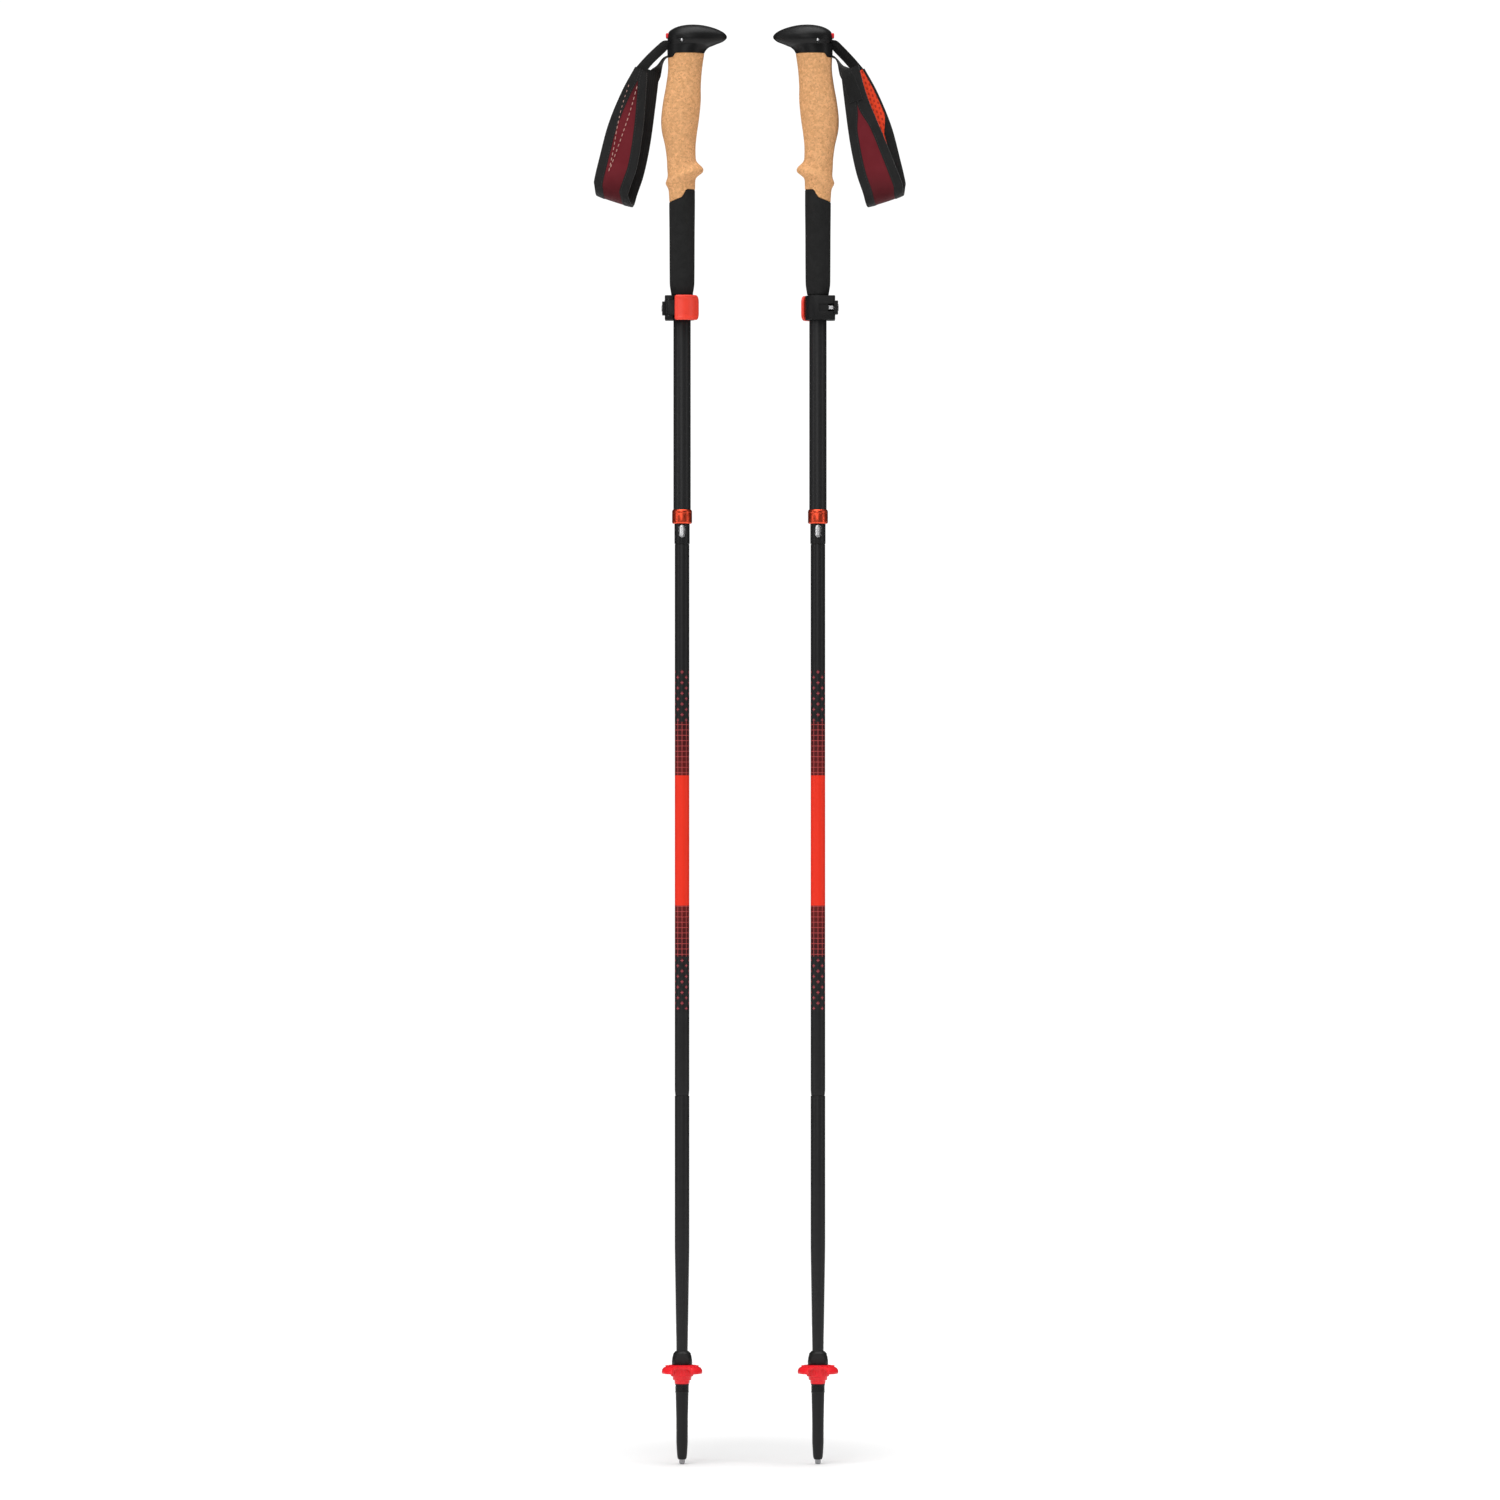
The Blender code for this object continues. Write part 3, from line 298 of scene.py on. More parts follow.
def lathe(name, profile, closed=False, sides=None):
    """A profile of (radius, height) turned about Z. A point on the axis closes the end."""
    sides = sides or detail().sides
    bm = bmesh.new()
    layer = bm.loops.layers.uv.new("UVMap")
    rows = []
    for r, z in profile:
        if r < 1e-6:
            rows.append([bm.verts.new((0, 0, z))] * sides)
            continue
        ring = []
        for i in range(sides):
            angle = math.pi / 2 + math.tau * i / sides
            ring.append(bm.verts.new((r * math.cos(angle), r * math.sin(angle), z)))
        rows.append(ring)
    pairs = [(k, k + 1) for k in range(len(rows) - 1)]
    if closed:
        pairs.append((len(rows) - 1, 0))
    for k, n in pairs:
        for i in range(sides):
            j = (i + 1) % sides
            corners = [
                (rows[k][i], i, k),
                (rows[n][i], i, n),
                (rows[n][j], i + 1, n),
                (rows[k][j], i + 1, k),
            ]
            unique = []
            for corner in corners:
                if corner[0] not in [u[0] for u in unique]:
                    unique.append(corner)
            face = bm.faces.new([corner[0] for corner in unique])
            for loop, corner in zip(face.loops, unique):
                loop[layer].uv = (corner[1] / sides, profile[corner[2]][1])
    return to_mesh(name, bm, outward=True)


def slope_value(table, k, column):
    """Slope at row k of a table whose first column is the place."""
    low = max(k - 1, 0)
    high = min(k + 1, len(table) - 1)
    return (table[high][column] - table[low][column]) / (table[high][0] - table[low][0])


def curve_value(table, x):
    """The table's other columns at x, on a smooth curve."""
    x = min(max(x, table[0][0]), table[-1][0])
    k = 0
    while k < len(table) - 2 and x > table[k + 1][0]:
        k += 1
    width = table[k + 1][0] - table[k][0]
    t = (x - table[k][0]) / width
    values = []
    for column in range(1, len(table[0])):
        a = table[k][column]
        b = table[k + 1][column]
        ma = slope_value(table, k, column) * width
        mb = slope_value(table, k + 1, column) * width
        h1 = 2 * t**3 - 3 * t**2 + 1
        h2 = t**3 - 2 * t**2 + t
        h3 = -2 * t**3 + 3 * t**2
        h4 = t**3 - t**2
        values.append(a * h1 + ma * h2 + b * h3 + mb * h4)
    return values


def flow(points, count):
    """count points on a smooth curve through the given ones, evenly spread between them."""
    last = len(points) - 1
    result = []
    for k in range(count):
        t = last * k / (count - 1)
        i = min(int(t), last - 1)
        f = t - i
        near = [points[min(max(j, 0), last)] for j in (i - 1, i, i + 1, i + 2)]
        point = []
        for p, q, r, s in zip(*near):
            bend = 2 * p - 5 * q + 4 * r - s
            twist = 3 * q - p - 3 * r + s
            point.append(0.5 * (2 * q + (r - p) * f + bend * f**2 + twist * f**3))
        result.append(point)
    return result


def rounded(half_u, half_v, corner, inset, side=8, turn=6, far_corner=None):
    """A rectangle's outline with round corners, drawn in by inset. far_corner is for those at -u."""
    half_u -= inset
    half_v -= inset
    sizes = {}
    for sign, size in ((1, corner), (-1, corner if far_corner is None else far_corner)):
        sizes[sign] = min(max(size - inset, 0.0003), half_u * 0.999, half_v * 0.999)
    points = []
    for cu, cv, start in ((1, 1, 0), (-1, 1, 90), (-1, -1, 180), (1, -1, 270)):
        r = sizes[cu]
        middle = (cu * (half_u - r), cv * (half_v - r))
        for i in range(turn + 1):
            angle = math.radians(start + 90 * i / turn)
            points.append((middle[0] + r * math.cos(angle), middle[1] + r * math.sin(angle)))
        last = points[-1]
        sign = {0: (-1, 0), 90: (0, -1), 180: (1, 0), 270: (0, 1)}[start]
        run = 2 * half_u - sizes[1] - sizes[-1] if sign[0] else 2 * (half_v - r)
        for i in range(1, side):
            points.append((last[0] + sign[0] * run * i / side, last[1] + sign[1] * run * i / side))
    return points


def pad(name, half_u, half_v, corner, profile, lay):
    """A plate with round corners. profile is (inset, height) from its back, over the edge, to its face,
    and lay puts (u, v, height) in space."""
    rings = [[lay(u, v, h) for u, v in rounded(half_u, half_v, corner, inset)] for inset, h in profile]
    return skin(name, rings)


def facing(origin, across, up):
    """Lays a flat plate at a point, with u along across and v along up."""
    origin, across, up = Vector(origin), Vector(across), Vector(up)
    out = across.cross(up)

    def lay(u, v, h):
        return origin + across * u + up * v + out * h

    return lay


def prism(name, outline, low, high, bevel=0.0004):
    """A flat outline drawn up from low to high, with eased edges."""
    bm = bmesh.new()
    floor = [bm.verts.new((x, y, low)) for x, y in outline]
    roof = [bm.verts.new((x, y, high)) for x, y in outline]
    bm.faces.new(floor)
    bm.faces.new(roof)
    for i in range(len(outline)):
        j = (i + 1) % len(outline)
        bm.faces.new((floor[i], floor[j], roof[j], roof[i]))
    obj = new_object(name, to_mesh(name, bm, 30.0, outward=True))
    if bevel:
        mod = obj.modifiers.new("ease", "BEVEL")
        mod.width = bevel
        mod.segments = 2
        mod.limit_method = "ANGLE"
        mod.angle_limit = math.radians(40)
    return baked(obj)


def standing(outline, back, front, bevel):
    """A flat outline in XZ made solid from y = back to y = front."""
    obj = prism("standing", outline, -back, -front, bevel)
    obj.data.transform(Matrix.Rotation(math.pi / 2, 4, "X"))
    return obj


def block(low, high):
    """A plain box to cut with."""
    low, high = Vector(low), Vector(high)
    bm = bmesh.new()
    bmesh.ops.create_cube(bm, size=1.0)
    bmesh.ops.scale(bm, vec=high - low, verts=bm.verts)
    bmesh.ops.translate(bm, vec=(low + high) / 2, verts=bm.verts)
    return new_object("cutter", to_mesh("cutter", bm))


def rod(r, length, direction, middle, sides=32):
    """A plain round bar to cut with or join on."""
    bm = bmesh.new()
    bmesh.ops.create_cone(bm, cap_ends=True, segments=sides, radius1=r, radius2=r, depth=length)
    turn = Vector((0, 0, 1)).rotation_difference(Vector(direction)).to_matrix()
    bmesh.ops.rotate(bm, matrix=turn, verts=bm.verts)
    bmesh.ops.translate(bm, vec=middle, verts=bm.verts)
    return new_object("bar", to_mesh("bar", bm))


def carve(obj, others, operation="DIFFERENCE", smooth=30.0):
    """Cuts others from obj, or joins them on, and removes them."""
    for i, other in enumerate(others):
        mod = obj.modifiers.new(f"carve_{i}", "BOOLEAN")
        mod.operation = operation
        mod.object = other
        mod.solver = "EXACT"
    baked(obj)
    for other in others:
        bpy.data.objects.remove(other)
    obj.data.shade_smooth()
    obj.data.set_sharp_from_angle(angle=math.radians(smooth))
    return obj


def arc(r, start, stop, steps, centre=(0.0, 0.0)):
    points = []
    for i in range(steps + 1):
        angle = math.radians(start + (stop - start) * i / steps)
        points.append((centre[0] + r * math.cos(angle), centre[1] + r * math.sin(angle)))
    return points


def ribbon(name, path, widths, faces, thickness, steps=60):
    """A flat band along path. widths are its width vectors, and faces the vectors it faces along."""
    round_steps = 3
    rows = flow([(*p, *w, *f) for p, w, f in zip(path, widths, faces)], steps)
    rings = []
    lengths = [0.0]
    for row in rows:
        middle, wide, out = Vector(row[0:3]), Vector(row[3:6]), Vector(row[6:9]).normalized()
        if rings:
            lengths.append(lengths[-1] + (middle - last).length)
        last = middle
        half = wide.length / 2
        across = wide.normalized()
        t = thickness / 2
        ring = []
        for sign in (1, -1):
            for i in range(round_steps + 1):
                angle = math.pi / 2 - math.pi * i / round_steps
                side = across * (half - t + t * math.cos(angle)) * sign
                ring.append(middle + side + out * t * math.sin(angle) * sign)
        rings.append(ring)
    width = Vector(rows[-1][3:6]).length

    def uvs(k, i):
        return ((i % (2 * round_steps + 2)) * width / (round_steps + 1), lengths[k])

    return skin(name, rings, uvs=uvs, smooth=50.0), lengths[-1], width


# ---- shader graphs ----


class Wire:
    """A socket that arithmetic can be done on."""

    def __init__(self, graph, socket):
        self.graph = graph
        self.socket = socket

    def sum(self, other, operation):
        return self.graph.math(operation, self, other)

    def __add__(self, other):
        return self.sum(other, "ADD")

    def __sub__(self, other):
        return self.sum(other, "SUBTRACT")

    def __mul__(self, other):
        return self.sum(other, "MULTIPLY")

    def low(self, other):
        return self.sum(other, "MINIMUM")

    def high(self, other):
        return self.sum(other, "MAXIMUM")

    def fraction(self):
        return self.graph.math("FRACT", self)

    def size(self):
        return self.graph.math("ABSOLUTE", self)

    def nearest(self):
        """How far it is from the nearest whole number."""
        return ((self + 0.5).fraction() - 0.5).size()

    def within(self, reach, soft):
        """1 under reach, and 0 past it, with a soft edge."""
        return self.graph.ramp(self, reach - soft, reach + soft, 1.0, 0.0)


class Graph:
    """A node tree being wired up."""

    def __init__(self, tree):
        self.tree = tree

    def node(self, kind, inputs=None, **settings):
        node = self.tree.nodes.new(kind)
        for key, value in settings.items():
            setattr(node, key, value)
        for key, value in (inputs or {}).items():
            self.plug(node.inputs[key], value)
        return node

    def plug(self, socket, value):
        if isinstance(value, Wire):
            value = value.socket
        if isinstance(value, bpy.types.NodeSocket):
            self.tree.links.new(value, socket)
        else:
            socket.default_value = value

    def wire(self, node, name=0):
        return Wire(self, node.outputs[name])

    def math(self, operation, a, b=0.0):
        return self.wire(self.node("ShaderNodeMath", {0: a, 1: b}, operation=operation))

    def ramp(self, value, low, high, start=0.0, stop=1.0):
        inputs = {"Value": value, "From Min": low, "From Max": high, "To Min": start, "To Max": stop}
        return self.wire(self.node("ShaderNodeMapRange", inputs, interpolation_type="SMOOTHSTEP"))

    def blend(self, share, a, b):
        node = self.node("ShaderNodeMix", data_type="RGBA")
        self.plug(node.inputs[0], share)
        for socket, colour in ((node.inputs[6], a), (node.inputs[7], b)):
            if isinstance(colour, (tuple, list)) or hasattr(colour, "r"):
                colour = (*colour, 1.0)
            self.plug(socket, colour)
        return self.wire(node, 2)

    def place(self):
        return self.wire(self.node("ShaderNodeTexCoord"), "Object")

    def uv(self):
        split = self.node("ShaderNodeSeparateXYZ", {0: self.wire(self.node("ShaderNodeUVMap"), "UV")})
        return self.wire(split, "X"), self.wire(split, "Y")

    def noise(self, vector, scale, detail=3.0, stretch=None):
        if stretch:
            vector = self.wire(self.node("ShaderNodeMapping", {"Vector": vector, "Scale": stretch}))
        inputs = {"Vector": vector, "Scale": scale, "Detail": detail}
        return self.wire(self.node("ShaderNodeTexNoise", inputs), 0)

    def cells(self, vector, scale, feature="F1", output="Distance"):
        inputs = {"Vector": vector, "Scale": scale}
        return self.wire(self.node("ShaderNodeTexVoronoi", inputs, feature=feature), output)

    def bump(self, height, distance, normal=None):
        inputs = {"Height": height, "Distance": distance}
        if normal is not None:
            inputs["Normal"] = normal
        return self.wire(self.node("ShaderNodeBump", inputs), "Normal")

    def group(self, tree, inputs):
        node = self.node("ShaderNodeGroup", node_tree=tree)
        for key, value in inputs.items():
            self.plug(node.inputs[key], value)
        return node


def new_group(name, inputs, outputs):
    """A shader group with float inputs {name: default} and outputs {name: socket type}."""
    tree = bpy.data.node_groups.new(name, "ShaderNodeTree")
    for key, value in inputs.items():
        vector = value is None
        socket = tree.interface.new_socket(
            key, in_out="INPUT", socket_type="NodeSocketVector" if vector else "NodeSocketFloat"
        )
        if not vector:
            socket.default_value = value
    for key, kind in outputs.items():
        tree.interface.new_socket(key, in_out="OUTPUT", socket_type=kind)
    graph = Graph(tree)
    return graph, graph.node("NodeGroupInput"), graph.node("NodeGroupOutput")


def grain_group():
    """Fine moulded grain: a roughness that varies, and a normal."""
    g, given, out = new_group(
        "Fine Grain",
        {"Scale": 2500.0, "Depth": 0.00002, "Roughness": 0.45, "Spread": 0.1},
        {"Roughness": "NodeSocketFloat", "Normal": "NodeSocketVector"},
    )
    fine = g.noise(g.place(), given.outputs["Scale"], 3.0)
    broad = g.noise(g.place(), 90.0, 4.0)
    roughness = (broad - 0.5) * given.outputs["Spread"] + given.outputs["Roughness"]
    g.plug(out.inputs["Roughness"], roughness + (fine - 0.5) * 0.08)
    g.plug(out.inputs["Normal"], g.bump(fine, given.outputs["Depth"]))
    return g.tree


def weave_group():
    """Plain weave over a UV map in metres: how high the threads stand, and the shade between them."""
    g, given, out = new_group(
        "Weave",
        {"Thread": 0.0008, "Depth": 0.00012},
        {"Shade": "NodeSocketFloat", "Normal": "NodeSocketVector"},
    )
    u, v = g.uv()
    thread = given.outputs["Thread"]
    across = g.math("DIVIDE", u, thread)
    along = g.math("DIVIDE", v, thread)
    warp = g.math("SINE", across * math.pi).size()
    weft = g.math("SINE", along * math.pi).size()
    turn = g.math("SINE", across * math.pi) * g.math("SINE", along * math.pi)
    over = g.ramp(turn, -0.15, 0.15)
    height = g.wire(g.node("ShaderNodeMix", {0: over, 2: warp, 3: weft}))
    fuzz = g.noise(g.place(), 3500.0, 2.0)
    height = height * 0.85 + fuzz * 0.3
    g.plug(out.inputs["Shade"], g.ramp(height, 0.1, 0.95))
    g.plug(out.inputs["Normal"], g.bump(height, given.outputs["Depth"]))
    return g.tree


GROUPS = {}


def shared(name):
    makers = {"grain": grain_group, "weave": weave_group}
    if name not in GROUPS:
        GROUPS[name] = makers[name]()
    return GROUPS[name]


def new_finish(name, **settings):
    """A material, its graph and its shader, with the shader's own sockets set."""
    mat = bpy.data.materials.new(name)
    mat.use_nodes = True
    graph = Graph(mat.node_tree)
    shader = mat.node_tree.nodes["Principled BSDF"]
    for key, value in settings.items():
        shader.inputs[key.replace("_", " ")].default_value = value
    return mat, graph, shader


def dimmed(colour, share):
    """A colour times a share, which may also be over 1."""
    return tuple(min(1.0, c * share) for c in colour)


def surface(g, shader, colour, roughness, normal):
    """Wires a finish's colour, roughness and normal to its shader."""
    for name, value in (("Base Color", colour), ("Roughness", roughness), ("Normal", normal)):
        g.plug(shader.inputs[name], value)


def grained(name, colour, scale=2500.0, depth=0.00002, roughness=0.45, spread=0.1, tint=0.12, **settings):
    """Moulded plastic or coated metal: a grain, and a colour that varies a little."""
    mat, g, shader = new_finish(name, **settings)
    grain = g.group(
        shared("grain"), {"Scale": scale, "Depth": depth, "Roughness": roughness, "Spread": spread}
    )
    broad = g.noise(g.place(), 60.0, 3.0)
    shade = g.blend(broad, dimmed(colour, 1 - tint), dimmed(colour, 1 + tint))
    surface(g, shader, shade, grain.outputs["Roughness"], grain.outputs["Normal"])
    return mat


def cork_finish():
    mat, g, shader = new_finish("cork", Specular_IOR_Level=0.25)
    place = g.place()
    base = tuple(looks().cork)
    grains = g.cells(place, 620.0, output="Color")
    split = g.node("ShaderNodeSeparateColor", {0: grains})
    pale = dimmed(base, 1.16)
    deep = tuple(c * f for c, f in zip(base, (0.86, 0.80, 0.70)))
    colour = g.blend(g.wire(split, 0), deep, pale)
    soft = g.noise(place, 160.0, 5.0)
    colour = g.blend(g.ramp(soft, 0.35, 0.75) * 0.45, colour, dimmed(base, 0.82))
    specks = g.noise(place, 900.0, 3.0)
    speck = g.ramp(specks, 0.60, 0.70)
    colour = g.blend(speck * 0.55, colour, (0.34, 0.145, 0.05))
    pits = g.cells(place, 430.0)
    pit = g.ramp(pits, 0.10, 0.17, 1.0, 0.0) * g.ramp(g.noise(place, 220.0, 2.0), 0.50, 0.62)
    colour = g.blend(pit * 0.75, colour, (0.20, 0.085, 0.035))
    edges = g.cells(place, 620.0, feature="DISTANCE_TO_EDGE")
    height = g.ramp(edges, 0.0, 0.12) * 0.6 + specks * 0.5 - pit
    surface(g, shader, colour, g.ramp(soft, 0.3, 0.7, 0.72, 0.86), g.bump(height, 0.00007))
    return mat


def foam_finish():
    mat, g, shader = new_finish("foam", Specular_IOR_Level=0.30)
    place = g.place()
    cells = g.cells(place, 1500.0)
    broad = g.noise(place, 120.0, 4.0)
    height = g.ramp(cells, 0.1, 0.55) + broad * 0.4
    # Darker in the pits, where the surface is low: painted shade in them.
    shade = g.blend(g.ramp(cells, 0.15, 0.6), (0.007, 0.007, 0.007), (0.014, 0.014, 0.014))
    surface(g, shader, shade, g.ramp(broad, 0.3, 0.7, 0.80, 0.95), g.bump(height, 0.00009))
    return mat


def tube_base(g, colour):
    """The tubes' coating: faint lines round the tube from its grinding, and a soft sheen."""
    place = g.place()
    lines = g.noise(place, 260.0, 3.0, stretch=(0.4, 0.4, 9.0))
    shade = g.blend(lines, dimmed(colour, 0.80), dimmed(colour, 1.22))
    roughness = g.ramp(lines, 0.3, 0.7, 0.30, 0.42)
    normal = g.bump(lines, 0.000012)
    return shade, roughness, normal


def tube_finish(name, gain=1.0):
    mat, g, shader = new_finish(name, Specular_IOR_Level=0.2)
    shade, roughness, normal = tube_base(g, dimmed(looks().tube, gain))
    surface(g, shader, shade, roughness, normal)
    return mat


# Heights where the middle tube's print changes, the pitch of its rows, and its columns round the tube.
PRINT = {
    "cross_top": 0.6905,
    "grid_top": 0.6445,
    "band_top": 0.5980,
    "band_low": 0.4850,
    "grid_low": 0.4410,
    "cross_low": 0.3945,
    "rows": 0.00927,
    "columns": 10,
}


def printed_finish():
    """The middle tube: a plain band between two grids of fine lines, which break up into small crosses."""
    mat, g, shader = new_finish("printed tube", Specular_IOR_Level=0.2)
    shade, roughness, normal = tube_base(g, tuple(looks().tube))
    u, v = g.uv()
    p = PRINT
    column_width = math.tau * TUBE_R / p["columns"]
    column = u * p["columns"]
    du = column.nearest() * column_width
    odd = g.math("FLOOR", column + 0.5) * 0.5
    row = (v - p["cross_top"] + 0.0028) * (1 / p["rows"]) + odd + 0.5
    dz = row.nearest() * p["rows"]
    thin, arm, soft = 0.00026, 0.00135, 0.00016
    stroke = du.within(thin, soft) * dz.within(arm, soft)
    cross = stroke.high(dz.within(thin, soft) * du.within(arm, soft))
    glow = (du * du + dz * dz).within(0.0000030, 0.0000030)
    fine_row = ((v - p["band_top"]) * (2 / p["rows"]) + 0.5).nearest() * (p["rows"] / 2)
    grid = du.within(0.00020, soft).high(fine_row.within(0.00020, soft))

    def between(low, high):
        edge = 0.00008
        return g.ramp(v, low - edge, low + edge) * g.ramp(v, high - edge, high + edge, 1.0, 0.0)

    crosses = between(p["cross_low"], p["grid_low"]).high(between(p["grid_top"], p["cross_top"]))
    grids = between(p["grid_low"], p["band_low"]).high(between(p["band_top"], p["grid_top"]))
    band = between(p["band_low"], p["band_top"])
    reach = g.ramp(v, p["band_top"], p["grid_top"], 1.0, 0.0)
    depth = g.ramp(v, p["grid_low"], p["band_low"])
    nearness = g.wire(g.node("ShaderNodeMix", {0: g.ramp(v, 0.53, 0.55), 2: depth, 3: reach}))
    rose = (0.42, 0.070, 0.085)
    ground = g.blend(nearness, (0.040, 0.007, 0.008), (0.115, 0.009, 0.008))
    colour = g.blend(crosses * glow * 0.55, shade, (0.060, 0.008, 0.012))
    colour = g.blend(crosses * cross, colour, rose)
    colour = g.blend(grids, colour, ground)
    colour = g.blend(grids * grid, colour, (0.50, 0.072, 0.070))
    colour = g.blend(band, colour, tuple(looks().print_orange))
    ink = band.high(grids * grid).high(crosses * cross)
    surface(g, shader, colour, roughness, g.bump(ink, 0.00002, normal))
    return mat


def metal_finish(name, colour, roughness=0.28, along=(1.0, 1.0, 12.0), scale=500.0, depth=0.00001):
    """Turned or brushed metal, with fine lines across the given direction."""
    mat, g, shader = new_finish(name, Metallic=1.0)
    lines = g.noise(g.place(), scale, 4.0, stretch=along)
    shade = g.blend(lines, dimmed(colour, 0.82), dimmed(colour, 1.12))
    bump = g.bump(lines, depth)
    surface(g, shader, shade, g.ramp(lines, 0.25, 0.75, roughness - 0.06, roughness + 0.10), bump)
    return mat


# Heights between which the cuff's cloth goes from dark to its full colour, and back: painted shade at its
# lowest and highest parts.
SHADED_END_HEIGHTS = (1.096, 1.128, 1.165, 1.205)


def cloth_finish(name, colour, thread, depth=0.00012, dark=0.45, painted_end_shade=False):
    """Woven cloth on a UV map in metres. When asked, it is darkened towards both ends of its length: painted
    shade there.
    """
    mat, g, shader = new_finish(name, Sheen_Weight=0.25, Sheen_Roughness=0.4, Specular_IOR_Level=0.2)
    weave = g.group(shared("weave"), {"Thread": thread, "Depth": depth})
    shade = g.blend(g.wire(weave, "Shade"), dimmed(colour, dark), colour)
    patch = g.noise(g.place(), 70.0, 4.0)
    shade = g.blend(g.ramp(patch, 0.35, 0.8) * 0.35, shade, dimmed(colour, 0.55))
    if painted_end_shade:
        # Painted shade: the cuff is darkened at its bottom and at its top.
        height = g.wire(g.node("ShaderNodeSeparateXYZ", {0: g.place()}), "Z")
        low_end, low_full, high_full, high_end = SHADED_END_HEIGHTS
        end_shade_mask = g.ramp(height, low_end, low_full, 1.0, 0.0).high(g.ramp(height, high_full, high_end))
        shade = g.blend(end_shade_mask * 0.66, shade, dimmed(colour, 0.16))
    surface(g, shader, shade, g.ramp(patch, 0.3, 0.7, 0.78, 0.92), weave.outputs["Normal"])
    return mat


def lining_finish():
    """Open spacer mesh: rows of long holes, set off from each other, on a UV map in metres."""
    mat, g, shader = new_finish("lining mesh", Sheen_Weight=0.2, Specular_IOR_Level=0.25)
    u, v = g.uv()
    step_u, step_v = 0.0030, 0.0050
    column = g.math("DIVIDE", u, step_u)
    odd = g.math("FLOOR", column + 0.5) * 0.5
    du = column.nearest() * 2.0
    dv = (g.math("DIVIDE", v, step_v) + odd).nearest() * 2.0
    hole = (du * du * 1.6 + dv * dv * 1.5).within(0.42, 0.20)
    bright = tuple(looks().lining)
    # The holes are darker: painted shade inside them.
    shade = g.blend(hole * 0.7, bright, (0.42, 0.020, 0.008))
    patch = g.noise(g.place(), 220.0, 3.0)
    shade = g.blend(g.ramp(patch, 0.3, 0.8) * 0.15, shade, dimmed(bright, 0.6))
    surface(g, shader, shade, g.ramp(patch, 0.3, 0.7, 0.75, 0.9), g.bump(hole * -1.0, 0.0004))
    return mat


def cord_finish():
    """Braided cord on a UV map: u goes once round, and v is in metres."""
    mat, g, shader = new_finish("cord braid", Sheen_Weight=0.2, Specular_IOR_Level=0.25)
    u, v = g.uv()
    one = (u * 4.0 + v * 500.0).nearest()
    two = (u * 4.0 - v * 500.0).nearest()
    height = one.high(two)
    # Darker where the braid is low: painted shade in its grooves.
    shade = g.blend(g.ramp(height, 0.2, 0.5), (0.18, 0.18, 0.17), (0.62, 0.62, 0.60))
    shade = g.blend(one.within(0.06, 0.04) * 0.5, shade, (0.05, 0.05, 0.05))
    surface(g, shader, shade, g.ramp(height, 0.1, 0.5, 0.9, 0.7), g.bump(height, 0.00012))
    return mat


FINISHES = {}


def finish(name):
    """A material by name, made the first time it is asked for."""
    black = tuple(looks().black)
    dull = {"Specular_IOR_Level": 0.22}
    makers = {
        "black": lambda: grained("moulded black", black, 2600.0, 0.000018, 0.46, 0.12, **dull),
        "soft black": lambda: grained("soft black", black, 1500.0, 0.000016, 0.40, 0.14, **dull),
        "cork": cork_finish,
        "foam": foam_finish,
        "tube": lambda: tube_finish("tube coating"),
        "grey tube": lambda: tube_finish("slide tube coating", 1.25),
        "printed": printed_finish,
        "coral": lambda: grained(
            "coral plastic", tuple(looks().coral), 1800.0, 0.000012, 0.36, 0.10, 0.05, Specular_IOR_Level=0.35
        ),
        "red": lambda: grained(
            "red plastic", tuple(looks().basket), 1200.0, 0.000015, 0.32, 0.12, 0.08, Specular_IOR_Level=0.3
        ),
        "anodised": lambda: metal_finish("anodised orange", tuple(looks().anodised), 0.36),
        "steel": lambda: metal_finish("satin steel", (0.66, 0.66, 0.67), 0.30),
        "carbide": lambda: metal_finish(
            "carbide", (0.33, 0.33, 0.34), 0.40, (1.0, 1.0, 1.0), 1500.0, 0.00004
        ),
        "burgundy": lambda: cloth_finish("burgundy cloth", tuple(looks().burgundy), 0.0007, painted_end_shade=True),
        "binding": lambda: cloth_finish("edge binding", (0.021, 0.021, 0.021), 0.0009, 0.00018, 0.3),
        "webbing": lambda: cloth_finish("black webbing", (0.013, 0.013, 0.013), 0.0012, 0.00020, 0.35),
        "lining": lining_finish,
        "thread": lambda: grained("stitch thread", (0.62, 0.34, 0.29), 3000.0, 0.00004, 0.7, 0.1, 0.25),
        "dark thread": lambda: grained("dark thread", (0.035, 0.034, 0.034), 3000.0, 0.00004, 0.7, 0.1, 0.25),
        "cord": cord_finish,
        "cord core": lambda: grained("cord core", (0.55, 0.55, 0.53), 2500.0, 0.00004, 0.8, 0.1),
    }
    if name not in FINISHES:
        FINISHES[name] = makers[name]()
    return FINISHES[name]


# ---- grips ----

# Cork over the upper tube: height above the clamp, then its thickness at the back, front and side.
GRIP_STATIONS = (
    (0.0790, 0.0021, 0.0024, 0.0024),
    (0.0920, 0.0028, 0.0025, 0.0025),
    (0.0970, 0.0030, 0.0026, 0.0027),
    (0.1010, 0.0032, 0.0027, 0.0028),
    (0.1050, 0.0036, 0.0028, 0.0030),
    (0.1090, 0.0040, 0.0029, 0.0031),
    (0.1130, 0.0042, 0.0030, 0.0032),
    (0.1190, 0.0045, 0.0030, 0.0034),
    (0.1300, 0.0060, 0.0030, 0.0038),
    (0.1420, 0.0087, 0.0043, 0.0048),
    (0.1500, 0.0094, 0.0055, 0.0055),
    (0.1580, 0.0090, 0.0065, 0.0057),
    (0.1700, 0.0074, 0.0075, 0.0054),
    (0.1820, 0.0052, 0.0075, 0.0047),
    (0.1960, 0.0034, 0.0085, 0.0042),
    (0.2102, 0.0037, 0.0105, 0.0047),
)

